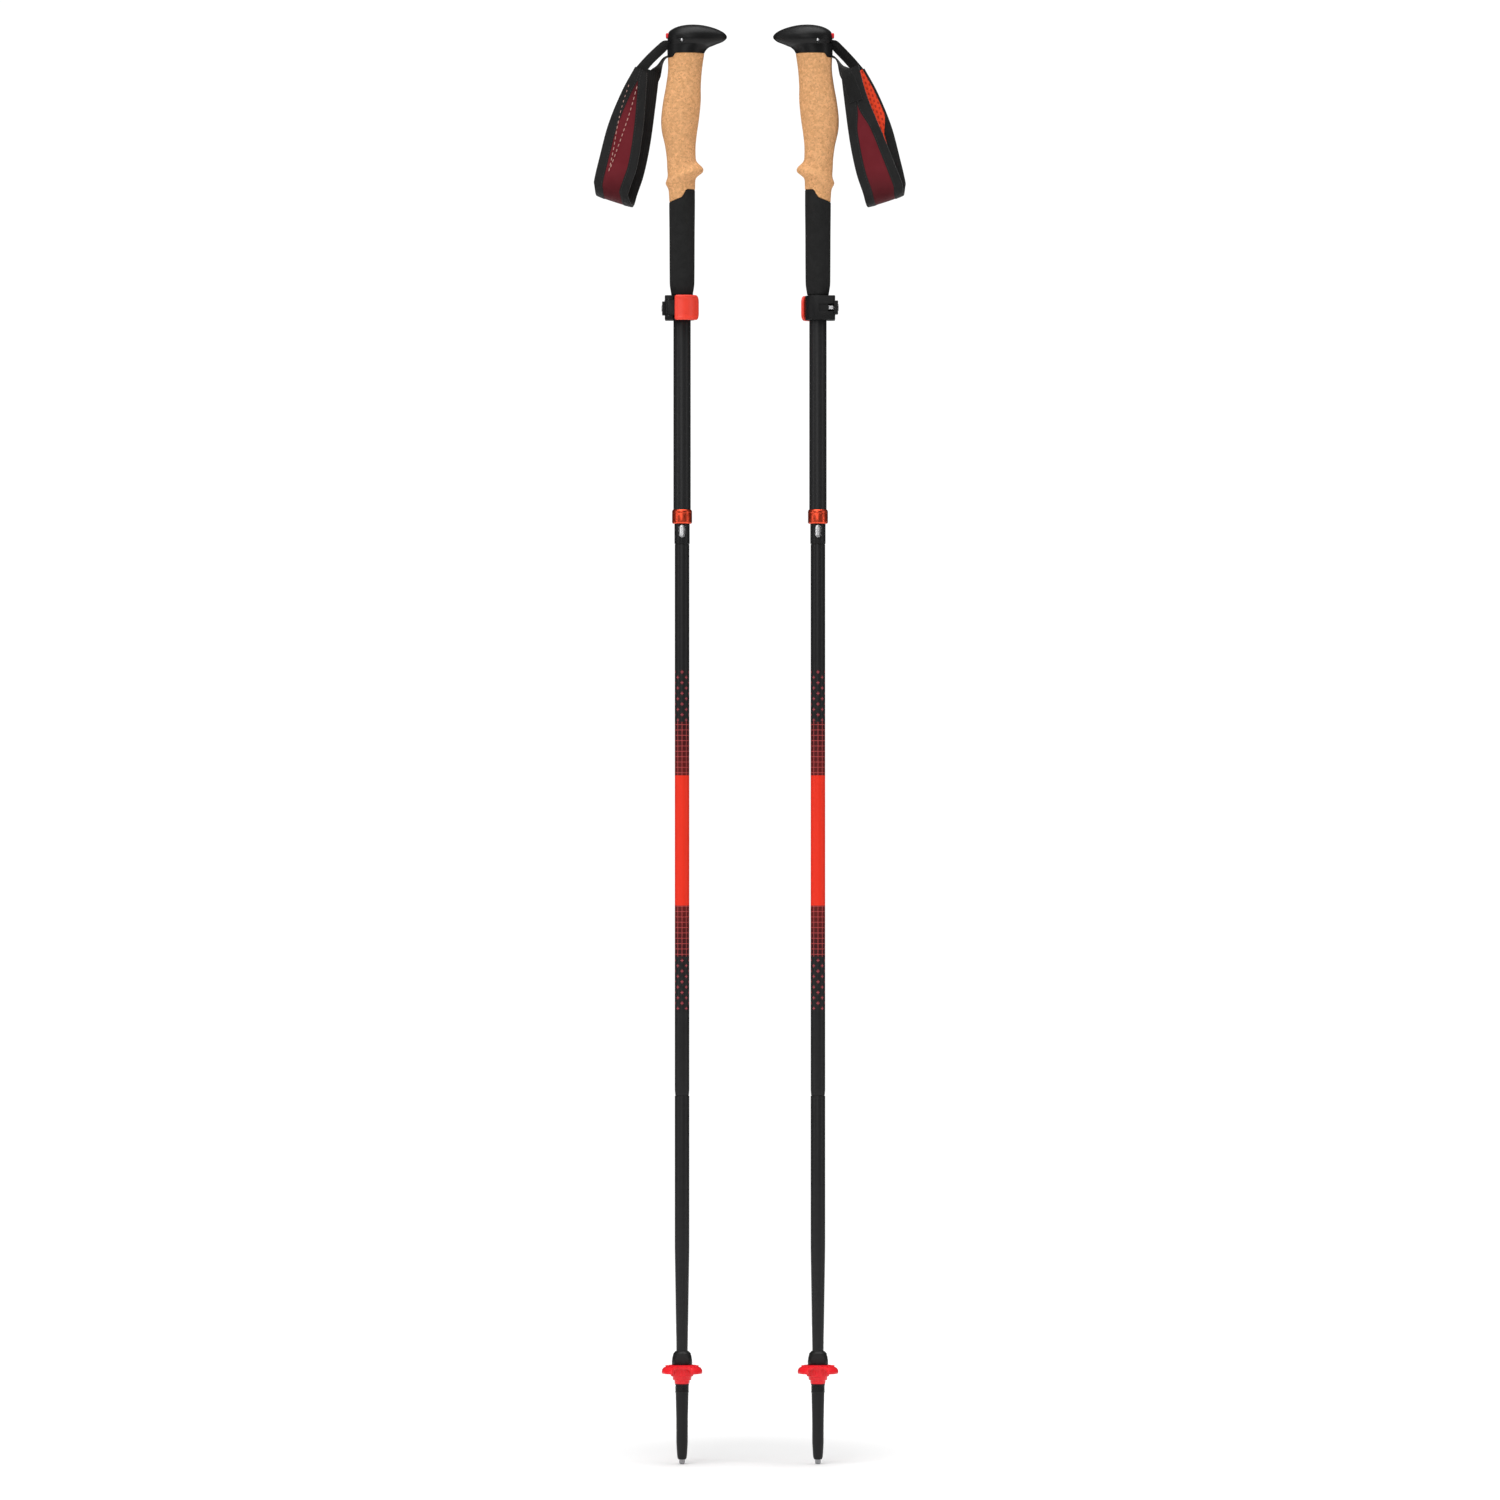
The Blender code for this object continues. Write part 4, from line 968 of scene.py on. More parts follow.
# Foam's outside: height above the clamp, and radius.
FOAM_STATIONS = (
    (0.0003, UPPER_R + 0.0006),
    (0.0013, UPPER_R + 0.0007),
    (0.0028, UPPER_R + 0.0009),
    (0.0045, UPPER_R + 0.0012),
    (0.0070, UPPER_R + 0.0016),
    (0.0100, UPPER_R + 0.0019),
    (0.0150, UPPER_R + 0.0020),
    (0.0300, UPPER_R + 0.0021),
    (0.0550, UPPER_R + 0.0022),
    (0.0750, UPPER_R + 0.0024),
    (0.0960, UPPER_R + 0.0024),
)
FOAM_TOP = CLAMP_TOP + 0.0917
# Where cork and foam meet, and where pommel and cork meet, from the back to the front.
GRIP_LINE = (
    (-0.0110, FOAM_TOP - 0.0108),
    (-0.0003, FOAM_TOP - 0.0070),
    (0.0018, FOAM_TOP - 0.0040),
    (0.0032, FOAM_TOP - 0.0012),
    (0.0050, FOAM_TOP),
)
POMMEL_LINE = (
    (-0.0090, CORK_TOP - 0.0036),
    (-0.0078, CORK_TOP - 0.0032),
    (-0.0062, CORK_TOP - 0.0005),
    (-0.0050, CORK_TOP),
)
FLARE_Z = CLAMP_TOP + 0.1030
EASE = 0.0004


def line_height(line, x):
    if x <= line[0][0]:
        return line[0][1]
    for (x0, z0), (x1, z1) in zip(line, line[1:]):
        if x <= x1:
            return z0 + (z1 - z0) * (x - x0) / (x1 - x0)
    return line[-1][1]


def flare(angle, height):
    """How far the cork swells under the fingers, in a crest that is tilted up to the front."""
    ridge = FLARE_Z + 0.0057 * math.cos(angle)
    front = max(0.0, math.cos(angle)) ** 2
    side = math.sin(angle) ** 2
    reach = 0.0024 + 0.0044 * front + 0.0010 * side
    width = (0.0044 + 0.0014 * front) if height > ridge else (0.0036 + 0.0012 * front)
    return reach * math.exp(-((abs(height - ridge) / width) ** (1.9 + 0.5 * front)))


def cork_point(angle, z, inset=0.0):
    back, front, side = curve_value(GRIP_STATIONS, z - CLAMP_TOP)
    extra = flare(angle, z) - inset
    x = (front - back) / 2 + (UPPER_R + (back + front) / 2 + extra) * math.cos(angle)
    return (x, (UPPER_R + side + extra) * math.sin(angle), z)


def foam_point(angle, z, inset=0.0):
    r = curve_value(FOAM_STATIONS, z - CLAMP_TOP)[0] - inset
    return (r * math.cos(angle), r * math.sin(angle), z)


def sleeve_between(name, point, low_at, high_at, rows, sides):
    """A shell on the upper tube, between two edges that vary round it, with eased corners."""
    angles = [math.tau * i / sides for i in range(sides)]
    lows = [low_at(angle) for angle in angles]
    highs = [high_at(angle) for angle in angles]
    rings = [[point(a, low, EASE) for a, low in zip(angles, lows)]]
    for k in range(rows + 1):
        ring = []
        for a, low, high in zip(angles, lows, highs):
            start, stop = low + EASE, high - EASE
            ring.append(point(a, start + (stop - start) * k / rows))
        rings.append(ring)
    rings.append([point(a, high, EASE) for a, high in zip(angles, highs)])
    for edges in (highs, lows):
        ring = [(BORE_R * math.cos(a), BORE_R * math.sin(a), z) for a, z in zip(angles, edges)]
        rings.append(ring)
    return skin(name, rings, closed=True, smooth=42.0)


def edge_at(line, point, gap):
    """The height of a meeting line at an angle, found on the piece's own outside."""

    def height(angle):
        z = line[-1][1]
        for _ in range(6):
            z = line_height(line, point(angle, z)[0]) + gap
        return z

    return height


def make_grip(side):
    place = handle_place(side)
    body = f"{side}_handle"
    low = edge_at(GRIP_LINE, cork_point, 0.00015)
    high = edge_at(POMMEL_LINE, cork_point, -0.00015)
    mesh = sleeve_between("cork", cork_point, low, high, 170, 112)
    cork = new_object(f"{side}_cork", mesh, finish("cork"))
    seat(cork, place, body, "cork", f"{side}_cork_grip")
    top = edge_at(GRIP_LINE, foam_point, -0.00015)
    mesh = sleeve_between("foam", foam_point, lambda a: CLAMP_TOP + 0.0003, top, 90, 96)
    foam = new_object(f"{side}_foam", mesh, finish("foam"))
    seat(foam, place, body, "foam", f"{side}_foam_grip")
    profile = [
        (UPPER_R, CORK_TOP + 0.0073),
        (UPPER_R, CLAMP_LOW + 0.0005),
        (UPPER_R - 0.0009, CLAMP_LOW + 0.0005),
        (UPPER_R - 0.0009, CORK_TOP + 0.0073),
    ]
    tube = new_object(f"{side}_upper_shell", lathe("upper shell", profile, closed=True), finish("tube"))
    slit = block((-0.012, -0.0006, CLAMP_LOW - 0.002), (-0.004, 0.0006, CLAMP_TOP + 0.006))
    carve(tube, [slit])
    seat(tube, place, body, "carbon", f"{side}_upper_tube")


# ---- pommel ----

# Neck: height above the cork, then thickness over the upper tube at the back, front and side.
NECK_STATIONS = (
    (-0.0045, 0.0038, 0.0098, 0.0048),
    (0.0000, 0.0040, 0.0105, 0.0050),
    (0.0030, 0.0040, 0.0122, 0.0052),
    (0.0060, 0.0040, 0.0156, 0.0054),
    (0.0090, 0.0037, 0.0200, 0.0054),
    (0.0130, 0.0022, 0.0212, 0.0040),
)

# Cap, from the back to the front: place, top and bottom above the cork, share of the half width.
CAP_STATIONS = (
    (-0.0126, 0.0158, 0.0114, 0.22),
    (-0.0114, 0.0188, 0.0080, 0.50),
    (-0.0080, 0.0214, 0.0058, 0.74),
    (-0.0030, 0.0235, 0.0046, 0.90),
    (0.0030, 0.0247, 0.0042, 0.985),
    (0.0095, 0.0251, 0.0042, 1.0),
    (0.0170, 0.0246, 0.0042, 0.93),
    (0.0240, 0.0232, 0.0056, 0.77),
    (0.0300, 0.0213, 0.0080, 0.60),
    (0.0350, 0.0189, 0.0099, 0.43),
    (0.0375, 0.0170, 0.0117, 0.30),
    (0.0387, 0.0155, 0.0131, 0.18),
    (0.0390, 0.0147, 0.0138, 0.10),
)
CAP_WIDEST = 0.0136
CAP_HALF = 0.0173
PIN_Z = CORK_TOP + 0.0106
STRAP_PIVOT = Vector((-0.0153, 0.0, CORK_TOP + 0.0098))
WEDGE_Z = CORK_TOP + 0.0153


def cap_mesh():
    rings = []
    first, last = CAP_STATIONS[0][0], CAP_STATIONS[-1][0]
    for k in range(49):
        share = (1 - math.cos(math.pi * k / 48)) / 2
        x = first + (last - first) * share
        top, bottom, width = curve_value(CAP_STATIONS, x)
        ring = []
        for i in range(48):
            angle = math.tau * i / 48
            rise = math.sin(angle)
            across = math.cos(angle)
            across = math.copysign(abs(across) ** 0.92, across)
            reach = (top - CAP_WIDEST) if rise > 0 else (CAP_WIDEST - bottom)
            ring.append((x, CAP_HALF * width * across, CORK_TOP + CAP_WIDEST + reach * rise))
        rings.append(ring)
    return skin("cap", rings, smooth=60.0)


def neck_mesh():
    rings = []
    for k in range(25):
        height = NECK_STATIONS[0][0] + (NECK_STATIONS[-1][0] - NECK_STATIONS[0][0]) * k / 24
        back, front, side = curve_value(NECK_STATIONS, height)
        ring = []
        for i in range(64):
            angle = math.tau * i / 64
            x = (front - back) / 2 + (UPPER_R + (back + front) / 2) * math.cos(angle)
            ring.append((x, (UPPER_R + side) * math.sin(angle), CORK_TOP + height))
        rings.append(ring)
    return skin("neck", rings, smooth=60.0)


def region_below(line, low, gap):
    """A block with its top along a stepped line, to cut with."""
    wide = 0.04
    outline = [(-wide, line[0][1]), *line, (wide, line[-1][1]), (wide, low), (-wide, low)]
    return standing([(x, z + gap) for x, z in outline], -wide, wide, 0.0)


def pommel_shell():
    """The cap and neck run together, with the crease between them kept soft."""
    shell = new_object("pommel shell", cap_mesh())
    carve(shell, [new_object("neck", neck_mesh())], "UNION")
    remesh = shell.modifiers.new("even", "REMESH")
    remesh.mode = "VOXEL"
    remesh.voxel_size = 0.00055
    soft = shell.modifiers.new("soft", "SMOOTH")
    soft.factor = 0.5
    soft.iterations = 4
    baked(shell)
    bore = rod(BORE_R, 0.04, (0, 0, 1), (0, 0, CORK_TOP + 0.0076 - 0.02), sides=64)
    pin = rod(0.0018, 0.06, (0, 1, 0), (0, 0, PIN_Z))
    slot = block((-0.02, -0.0078, STRAP_PIVOT.z - 0.0014), (-0.004, 0.0078, STRAP_PIVOT.z + 0.0014))
    wedge = block((-0.02, -0.0055, WEDGE_Z - 0.00255), (-0.0044, 0.0055, WEDGE_Z + 0.00255))
    cork = region_below(POMMEL_LINE, CORK_TOP - 0.035, 0.00015)
    return carve(shell, [cork, bore, pin, slot, wedge], smooth=40.0)


def make_pommel(side, shell):
    place = handle_place(side)
    body = f"{side}_handle"
    pommel = new_object(f"{side}_pommel_shell", shell.data.copy(), finish("soft black"))
    seat(pommel, place, body, "black_plastic", f"{side}_pommel")
    half = CAP_HALF - 0.0007
    profile = [(0, half), (0.0009, half), (0.0013, half - 0.00015), (0.0015, half - 0.0005)]
    profile += [(r, -z) for r, z in reversed(profile)]
    pin = new_object(f"{side}_rivet", lathe("rivet", profile, sides=40), finish("steel"))
    pin.data.transform(Matrix.Translation((0, 0, PIN_Z)) @ Matrix.Rotation(math.pi / 2, 4, "X"))
    seat(pin, place, body, "silver", f"{side}_pommel_pin")
    outline = [(-0.0047, -0.00225), (-0.0047, 0.00135), (-0.0141, 0.00225), (-0.0141, -0.00225)]
    wedge = prism(f"{side}_wedge_key", outline, -0.0052, 0.0052, 0.0011)
    wedge.data.transform(Matrix.Translation((0, 0, WEDGE_Z)) @ Matrix.Rotation(math.pi / 2, 4, "X"))
    dress(wedge, "red")
    seat(wedge, place, f"{side}_wedge", "red_plastic", f"{side}_strap_wedge")


# ---- strap ----

# The strap's two edges from the cork's top, down each strand: outer x, outer z, inner x, inner z.
NEAR_STRAND = (
    (-0.0400, -0.0125, -0.0308, -0.0172),
    (-0.0512, -0.0330, -0.0321, -0.0400),
    (-0.0632, -0.0620, -0.0347, -0.0690),
    (-0.0712, -0.0920, -0.0398, -0.1000),
    (-0.0758, -0.1120, -0.0474, -0.1228),
)
FAR_STRAND = (
    (-0.0345, -0.0110, -0.0204, -0.0165),
    (-0.0420, -0.0380, -0.0238, -0.0450),
    (-0.0560, -0.0720, -0.0285, -0.0790),
    (-0.0660, -0.0970, -0.0340, -0.1050),
    (-0.0725, -0.1140, -0.0400, -0.1230),
)
STRAND_Y = 0.0095
CUFF_HALF = 0.0013
CUFF_STEPS = 220
# Width that each edge's tape is cut to, before it is folded over.
BINDING_CUT = {"outer": 0.0149, "inner": 0.0229}
WEBBING_CUT = 0.0101


def cuff_rows():
    """The cuff's rows: outer edge, inner edge, and the way its outer face looks."""
    rows = []
    for ox, oz, ix, iz in NEAR_STRAND:
        rows.append((ox, -STRAND_Y, oz, ix, -STRAND_Y, iz, 0.0, -1.0, 0.0))
    start, stop = NEAR_STRAND[-1], FAR_STRAND[-1]
    for i in range(1, 8):
        share = i / 8
        turn = math.pi * share
        ox, oz, ix, iz = (a + (b - a) * share for a, b in zip(start, stop))
        drop = STRAND_Y * math.sin(turn)
        y = -STRAND_Y * math.cos(turn)
        rows.append((ox, y, oz - drop, ix, y, iz - drop, 0.0, -math.cos(turn), -math.sin(turn)))
    for ox, oz, ix, iz in reversed(FAR_STRAND):
        rows.append((ox, STRAND_Y, oz, ix, STRAND_Y, iz, 0.0, 1.0, 0.0))
    # Even spacing, so that the smooth curve through them doesn't bunch up at the turn.
    spread = [0.0]
    for a, b in zip(rows, rows[1:]):
        spread.append(spread[-1] + (Vector(b[0:3]) - Vector(a[0:3])).length)
    table = [(place, *row) for place, row in zip(spread, rows)]
    frames = []
    for k in range(CUFF_STEPS + 1):
        place = spread[-1] * k / CUFF_STEPS
        row = curve_value(table, place)
        outer, inner = Vector(row[0:3]), Vector(row[3:6])
        lift = Vector((0, 0, CORK_TOP))
        out = Vector(row[6:9]).normalized()
        frames.append((outer + lift, inner + lift, out, place))
    return frames


def edge_width(middle, out, half):
    """How far the binding reaches in from an edge: it fills the strap above each panel's point."""
    full = detail().binding_width
    if out.y < 0:
        share = min(max((CORK_TOP - 0.0120 - middle.z) / 0.012, 0.0), 1.0)
    else:
        share = min(max((CORK_TOP - 0.0420 - middle.z) / 0.026, 0.0), 1.0)
    share = share * share * (3 - 2 * share)
    closed = half * 0.985
    return closed + (min(full, closed) - closed) * share


def crown(s):
    """Half the cuff's thickness across it, from -1 at one edge to 1 at the other."""
    return CUFF_HALF * (0.62 + 0.62 * (1 - abs(s) ** 2.6))


def cuff_mesh(frames):
    across = 28
    bm = bmesh.new()
    layer = bm.loops.layers.uv.new("UVMap")
    rings = []
    for outer, inner, out, place in frames:
        middle = (outer + inner) / 2
        side = (outer - inner) / 2
        faces = []
        for sign in (1, -1):
            for i in range(across + 1):
                s = -1 + 2 * i / across if sign > 0 else 1 - 2 * i / across
                point = middle + side * s * 0.992 + out * crown(s) * sign
                faces.append((bm.verts.new(point), s * side.length))
        rings.append((faces, place))
    count = len(rings[0][0])
    for (a, va), (b, vb) in zip(rings, rings[1:]):
        for i in range(count):
            j = (i + 1) % count
            face = bm.faces.new((a[i][0], b[i][0], b[j][0], a[j][0]))
            face.material_index = 0 if i <= across else 1
            for loop, uv in zip(face.loops, ((a[i][1], va), (b[i][1], vb), (b[j][1], vb), (a[j][1], va))):
                loop[layer].uv = uv
    bm.faces.new([v for v, _ in rings[0][0]])
    bm.faces.new([v for v, _ in reversed(rings[-1][0])])
    return to_mesh("cuff", bm, 60.0, outward=True)


def from_edge(outer, inner, outer_edge):
    """An edge of the cuff, and the way in from it."""
    if outer_edge:
        return outer, (inner - outer).normalized()
    return inner, (outer - inner).normalized()


def binding_mesh(frames, outer_edge):
    """A folded tape along one edge of the cuff, over its outer face and round to its inner one."""
    rings = []
    places = []
    for outer, inner, out, place in frames:
        middle = (outer + inner) / 2
        half = (outer - inner).length / 2
        edge, inward = from_edge(outer, inner, outer_edge)
        reach = edge_width(middle, out, half)
        limit = half * 1.05 if out.y < 0.5 else 2 * half - 0.0012
        hem = min(max((CORK_TOP - 0.0560 - middle.z) / 0.020, 0.0), 1.0)
        under = min(0.0012 + 0.0080 * hem, reach) if outer_edge else min(0.0135, limit)
        ring = []
        top, low = [], []
        for i in range(7):
            d = reach * (1 - i / 6) + 0.0002
            s = 1 - d / half
            lip = 0.00042 if i else 0.00020
            top.append(edge + inward * d + out * (crown(s) + lip))
            low.append(edge + inward * d + out * (crown(s) - 0.0003))
        ring += top
        rim = crown(1.0) + 0.00042
        for i in range(1, 6):
            angle = math.pi * i / 6
            ring.append(edge - inward * 0.0007 * math.sin(angle) + out * rim * math.cos(angle))
        back, back_low = [], []
        for i in range(7):
            d = under * i / 6 + 0.0002
            s = max(1 - d / half, -1.0)
            lip = 0.00042 if i < 6 else 0.00020
            back.append(edge + inward * d - out * (crown(s) + lip))
            back_low.append(edge + inward * d - out * (crown(s) - 0.0003))
        ring += back
        ring += list(reversed(back_low))
        ring += list(reversed(low))
        rings.append(ring)
        places.append(place)

    def uvs(k, i):
        i = i % len(rings[0])
        return (0.0011 * i, places[k])

    return skin("binding", rings, uvs=uvs, smooth=55.0)


def on_cuff(frames, share, height):
    """The point on the near strand's outer face at a height, and share from its inner to its outer edge."""
    best = min(
        (f for f in frames if f[2].y < -0.9),
        key=lambda f: abs((f[1] + (f[0] - f[1]) * share).z - height),
    )
    s = share * 2 - 1
    return best[1] + (best[0] - best[1]) * share + best[2] * (crown(s) + 0.0002)


def stitched(name, path, material, pitch, size):
    """A row of stitches: long beads at even steps, lying along a path. size is (radius, half length)."""
    bm = bmesh.new()
    verts = [bm.verts.new(p) for p in path]
    for a, b in zip(verts, verts[1:]):
        bm.edges.new((a, b))
    mesh = bpy.data.meshes.new(name)
    bm.to_mesh(mesh)
    bm.free()
    values = {"Pitch": pitch, "Thread": size[0], "Length": size[1], "Finish": material}
    return grow(new_object(name, mesh), stitch_tree(), values)


TREES = {}


def geometry_tree(name, inputs):
    tree = bpy.data.node_groups.new(name, "GeometryNodeTree")
    tree.interface.new_socket("Geometry", in_out="INPUT", socket_type="NodeSocketGeometry")
    for key, (kind, default) in inputs.items():
        socket = tree.interface.new_socket(key, in_out="INPUT", socket_type=kind)
        if default is not None:
            socket.default_value = default
    tree.interface.new_socket("Geometry", in_out="OUTPUT", socket_type="NodeSocketGeometry")
    graph = Graph(tree)
    return graph, graph.node("NodeGroupInput"), graph.node("NodeGroupOutput")


def close_tree(key, g, given, out, shape):
    """Ends a tree with smooth shading and its finish, and keeps it for the next piece."""
    smooth = g.node("GeometryNodeSetShadeSmooth", {0: g.wire(shape)})
    finished = g.node("GeometryNodeSetMaterial", {0: g.wire(smooth), "Material": given.outputs["Finish"]})
    g.plug(out.inputs[0], g.wire(finished))
    TREES[key] = g.tree
    return g.tree


def grow(obj, tree, values):
    """Runs a geometry tree on a piece, with values for its inputs by name, and applies it."""
    mod = obj.modifiers.new("grow", "NODES")
    mod.node_group = tree
    for item in tree.interface.items_tree:
        if item.name in values:
            mod[item.identifier] = values[item.name]
    return baked(obj)


def stitch_tree():
    if "stitches" in TREES:
        return TREES["stitches"]
    number = "NodeSocketFloat"
    g, given, out = geometry_tree(
        "Stitches",
        {
            "Pitch": (number, 0.0034),
            "Thread": (number, 0.0002),
            "Length": (number, 0.0011),
            "Finish": ("NodeSocketMaterial", None),
        },
    )
    curve = g.node("GeometryNodeMeshToCurve", {0: given.outputs["Geometry"]})
    points = g.node("GeometryNodeCurveToPoints", {0: g.wire(curve)}, mode="LENGTH")
    g.plug(points.inputs["Length"], given.outputs["Pitch"])
    ball = g.node("GeometryNodeMeshUVSphere", {"Segments": 8, "Rings": 6, "Radius": 1.0})
    tangent = g.node("FunctionNodeAlignRotationToVector", {"Vector": g.wire(points, "Tangent")}, axis="Z")
    size = g.node("ShaderNodeCombineXYZ", {
        0: given.outputs["Thread"], 1: given.outputs["Thread"], 2: given.outputs["Length"],
    })
    beads = g.node(
        "GeometryNodeInstanceOnPoints",
        {"Points": g.wire(points, "Points"), "Instance": g.wire(ball, "Mesh")},
    )
    g.plug(beads.inputs["Rotation"], g.wire(tangent))
    g.plug(beads.inputs["Scale"], g.wire(size))
    real = g.node("GeometryNodeRealizeInstances", {0: g.wire(beads)})
    return close_tree("stitches", g, given, out, real)


def make_cuff(side, frames):
    """The padded cuff, and the tape folded over each of its edges."""
    place, body = handle_place(side), f"{side}_strap"
    cuff = new_object(f"{side}_cuff", cuff_mesh(frames), finish("burgundy"), finish("lining"))
    seat(cuff, place, body, "strap_fabric", f"{side}_strap_cuff")
    for name, tape_width in BINDING_CUT.items():
        tape = new_object(f"{side}_{name}_binding", binding_mesh(frames, name == "outer"), finish("binding"))
        seat(tape, place, body, "webbing")
    return cuff


# Each webbing by its path, its width at each point, and the way it faces at its first points and after.
WEBBINGS = {
    "upper": (
        (
            (-0.0100, 0.0, STRAP_PIVOT.z),
            (-0.0138, -0.0006, STRAP_PIVOT.z - 0.0018),
            (-0.0185, -0.0030, STRAP_PIVOT.z - 0.0062),
            (-0.0275, -0.0072, STRAP_PIVOT.z - 0.0152),
            (-0.0348, -0.0093, STRAP_PIVOT.z - 0.0236),
            (-0.0390, -0.0095, STRAP_PIVOT.z - 0.0290),
        ),
        (0.0080, 0.0084, 0.0090, 0.0090, 0.0092, 0.0092),
        ((0.30, -0.30, 0.90), (0.34, -0.70, 0.62), (0.10, -0.97, 0.20)),
        (0, -1, 0),
    ),
    "lower": (
        (
            (-0.0105, 0.0, CORK_TOP - 0.0020),
            (-0.0152, 0.0006, CORK_TOP - 0.0040),
            (-0.0192, 0.0030, CORK_TOP - 0.0095),
            (-0.0232, 0.0090, CORK_TOP - 0.0165),
            (-0.0278, 0.0118, CORK_TOP - 0.0260),
            (-0.0330, 0.0119, CORK_TOP - 0.0420),
        ),
        (0.0095, 0.0095, 0.0098, 0.0105, 0.0115, 0.0120),
        ((-0.35, 0.0, 0.94), (-0.62, 0.05, 0.78), (-0.85, 0.35, 0.45)),
        (0, 1, 0),
    ),
}


def make_webbings(side):
    """The two narrow bands from the pommel to the cuff, curved between them."""
    place = handle_place(side)
    for name, (path, widths, first_faces, face_after) in WEBBINGS.items():
        wide, out = [], []
        for k, w in enumerate(widths):
            a = Vector(path[max(k - 1, 0)])
            b = Vector(path[min(k + 1, len(path) - 1)])
            along = (b - a).normalized()
            face = Vector(first_faces[k] if k < len(first_faces) else face_after)
            across = along.cross(face).normalized()
            wide.append(across * w)
            out.append(across.cross(along))
        mesh, length, width = ribbon(f"{name} webbing", path, wide, out, 0.0014, steps=70)
        band = new_object(f"{side}_{name}_webbing", mesh, finish("webbing"))
        band.data.transform(place)
        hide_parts(f"{side}_strap_webbing_{name}")
        start, stop = place @ Vector(path[0]), place @ Vector(path[3])
        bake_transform(band)
        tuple(start)
        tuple(stop)
        max(width, WEBBING_CUT)


# The cuff's two stitch rows: share from the inner to the outer edge, and drop from the cork's top.
STITCH_ROWS = {
    "row_a": ((0.86, 0.029), (0.80, 0.047), (0.74, 0.066), (0.70, 0.084), (0.68, 0.102)),
    "row_b": ((0.46, 0.031), (0.48, 0.050), (0.54, 0.070), (0.61, 0.086), (0.66, 0.098)),
}


def make_stitches(side, frames):
    """Two long rows on the cuff's panel, and a hem on each binding."""
    place, body = handle_place(side), f"{side}_strap"
    for name, points in STITCH_ROWS.items():
        path = flow([tuple(on_cuff(frames, share, CORK_TOP - drop)) for share, drop in points], 60)
        row = stitched(f"{side}_{name}", path, finish("thread"), detail().stitch_pitch, (0.00036, 0.0015))
        seat(row, place, body, "strap_fabric")
    for name in BINDING_CUT:
        path = []
        for outer, inner, out, _ in frames[::3]:
            half = (outer - inner).length / 2
            reach = edge_width((outer + inner) / 2, out, half) - 0.0010
            edge, inward = from_edge(outer, inner, name == "outer")
            s = 1 - reach / half
            path.append(edge + inward * reach + out * (crown(s) + 0.00040))
        row = stitched(f"{side}_{name}_hem", path, finish("dark thread"), 0.0026, (0.00017, 0.0009))
        seat(row, place, body, "webbing")


def make_strap(side):
    frames = cuff_rows()
    cuff = make_cuff(side, frames)
    make_webbings(side)
    make_stitches(side, frames)


# ---- clamp ----

LEVER_PIN = Vector((-BAND_R - 0.0006, -BAND_R + 0.0020, CLAMP_MID))
HUB_R = 0.0036
HUB_HALF = 0.0065
SCREW_Y = BAND_R - 0.0034
BLOCK_X = LEVER_PIN.x - HUB_R + 0.0003
BLOCK_FRONT = LEVER_PIN.y - HUB_R + 0.0003
BLOCK_BACK = BAND_R + 0.0003
NUB_OUT = 0.0025
PIN_HOLE_R = 0.0015


def make_clamp_body(side):
    low, high = CLAMP_LOW + 0.0003, CLAMP_TOP - 0.0003
    corner = 0.0020
    lug_x = LEVER_PIN.x + HUB_R + 0.0004
    outline = [
        *arc(BAND_R, 90, -math.degrees(math.acos(lug_x / BAND_R)), 40),
        (lug_x, BLOCK_FRONT),
        *arc(corner, -90, -180, 6, (BLOCK_X + corner, BLOCK_FRONT + corner)),
        *arc(corner, 180, 90, 6, (BLOCK_X + corner, BLOCK_BACK - corner)),
    ]
    body = prism(f"{side}_clamp_band", outline, low, high, 0.0005)
    nub = pad(
        "nub",
        0.0042,
        0.0060,
        0.0012,
        [(0.0, -0.001), (0.0, NUB_OUT - 0.0004), (0.0004, NUB_OUT)],
        facing((BLOCK_X, SCREW_Y, CLAMP_MID), (0, -1, 0), (0, 0, 1)),
    )
    carve(body, [new_object("nub", nub)], "UNION")
    hub = HUB_HALF + 0.0003
    slot = 0.0033
    cutters = [
        rod(BORE_R, 0.06, (0, 0, 1), (0, 0, CLAMP_MID), sides=64),
        block((BLOCK_X - 0.01, -0.0006, low - 0.01), (-BORE_R / 2, 0.0006, high + 0.01)),
        block(
            (BLOCK_X - 0.01, -0.03, CLAMP_MID - hub),
            (lug_x, LEVER_PIN.y + HUB_R + 0.0003, CLAMP_MID + hub),
        ),
        rod(PIN_HOLE_R, 0.04, (0, 0, 1), LEVER_PIN),
        block(
            (BLOCK_X + 0.0010, SCREW_Y - 0.0031, CLAMP_MID - slot),
            (BLOCK_X + 0.0062, 0.03, CLAMP_MID + slot),
        ),
        block((BLOCK_X + 0.0060, BLOCK_BACK - 0.0010, CLAMP_MID - slot), (-0.0010, 0.03, CLAMP_MID + slot)),
        rod(0.0018, 0.01, (1, 0, 0), (BLOCK_X - 0.003, SCREW_Y, CLAMP_MID)),
        rod(0.0033, 0.004, (1, 0, 0), (BLOCK_X - NUB_OUT - 0.0008, SCREW_Y, CLAMP_MID)),
    ]
    carve(body, cutters, smooth=35.0)
    dress(body, "black")
    seat(body, handle_place(side), f"{side}_handle", "black_plastic", f"{side}_clamp_body")


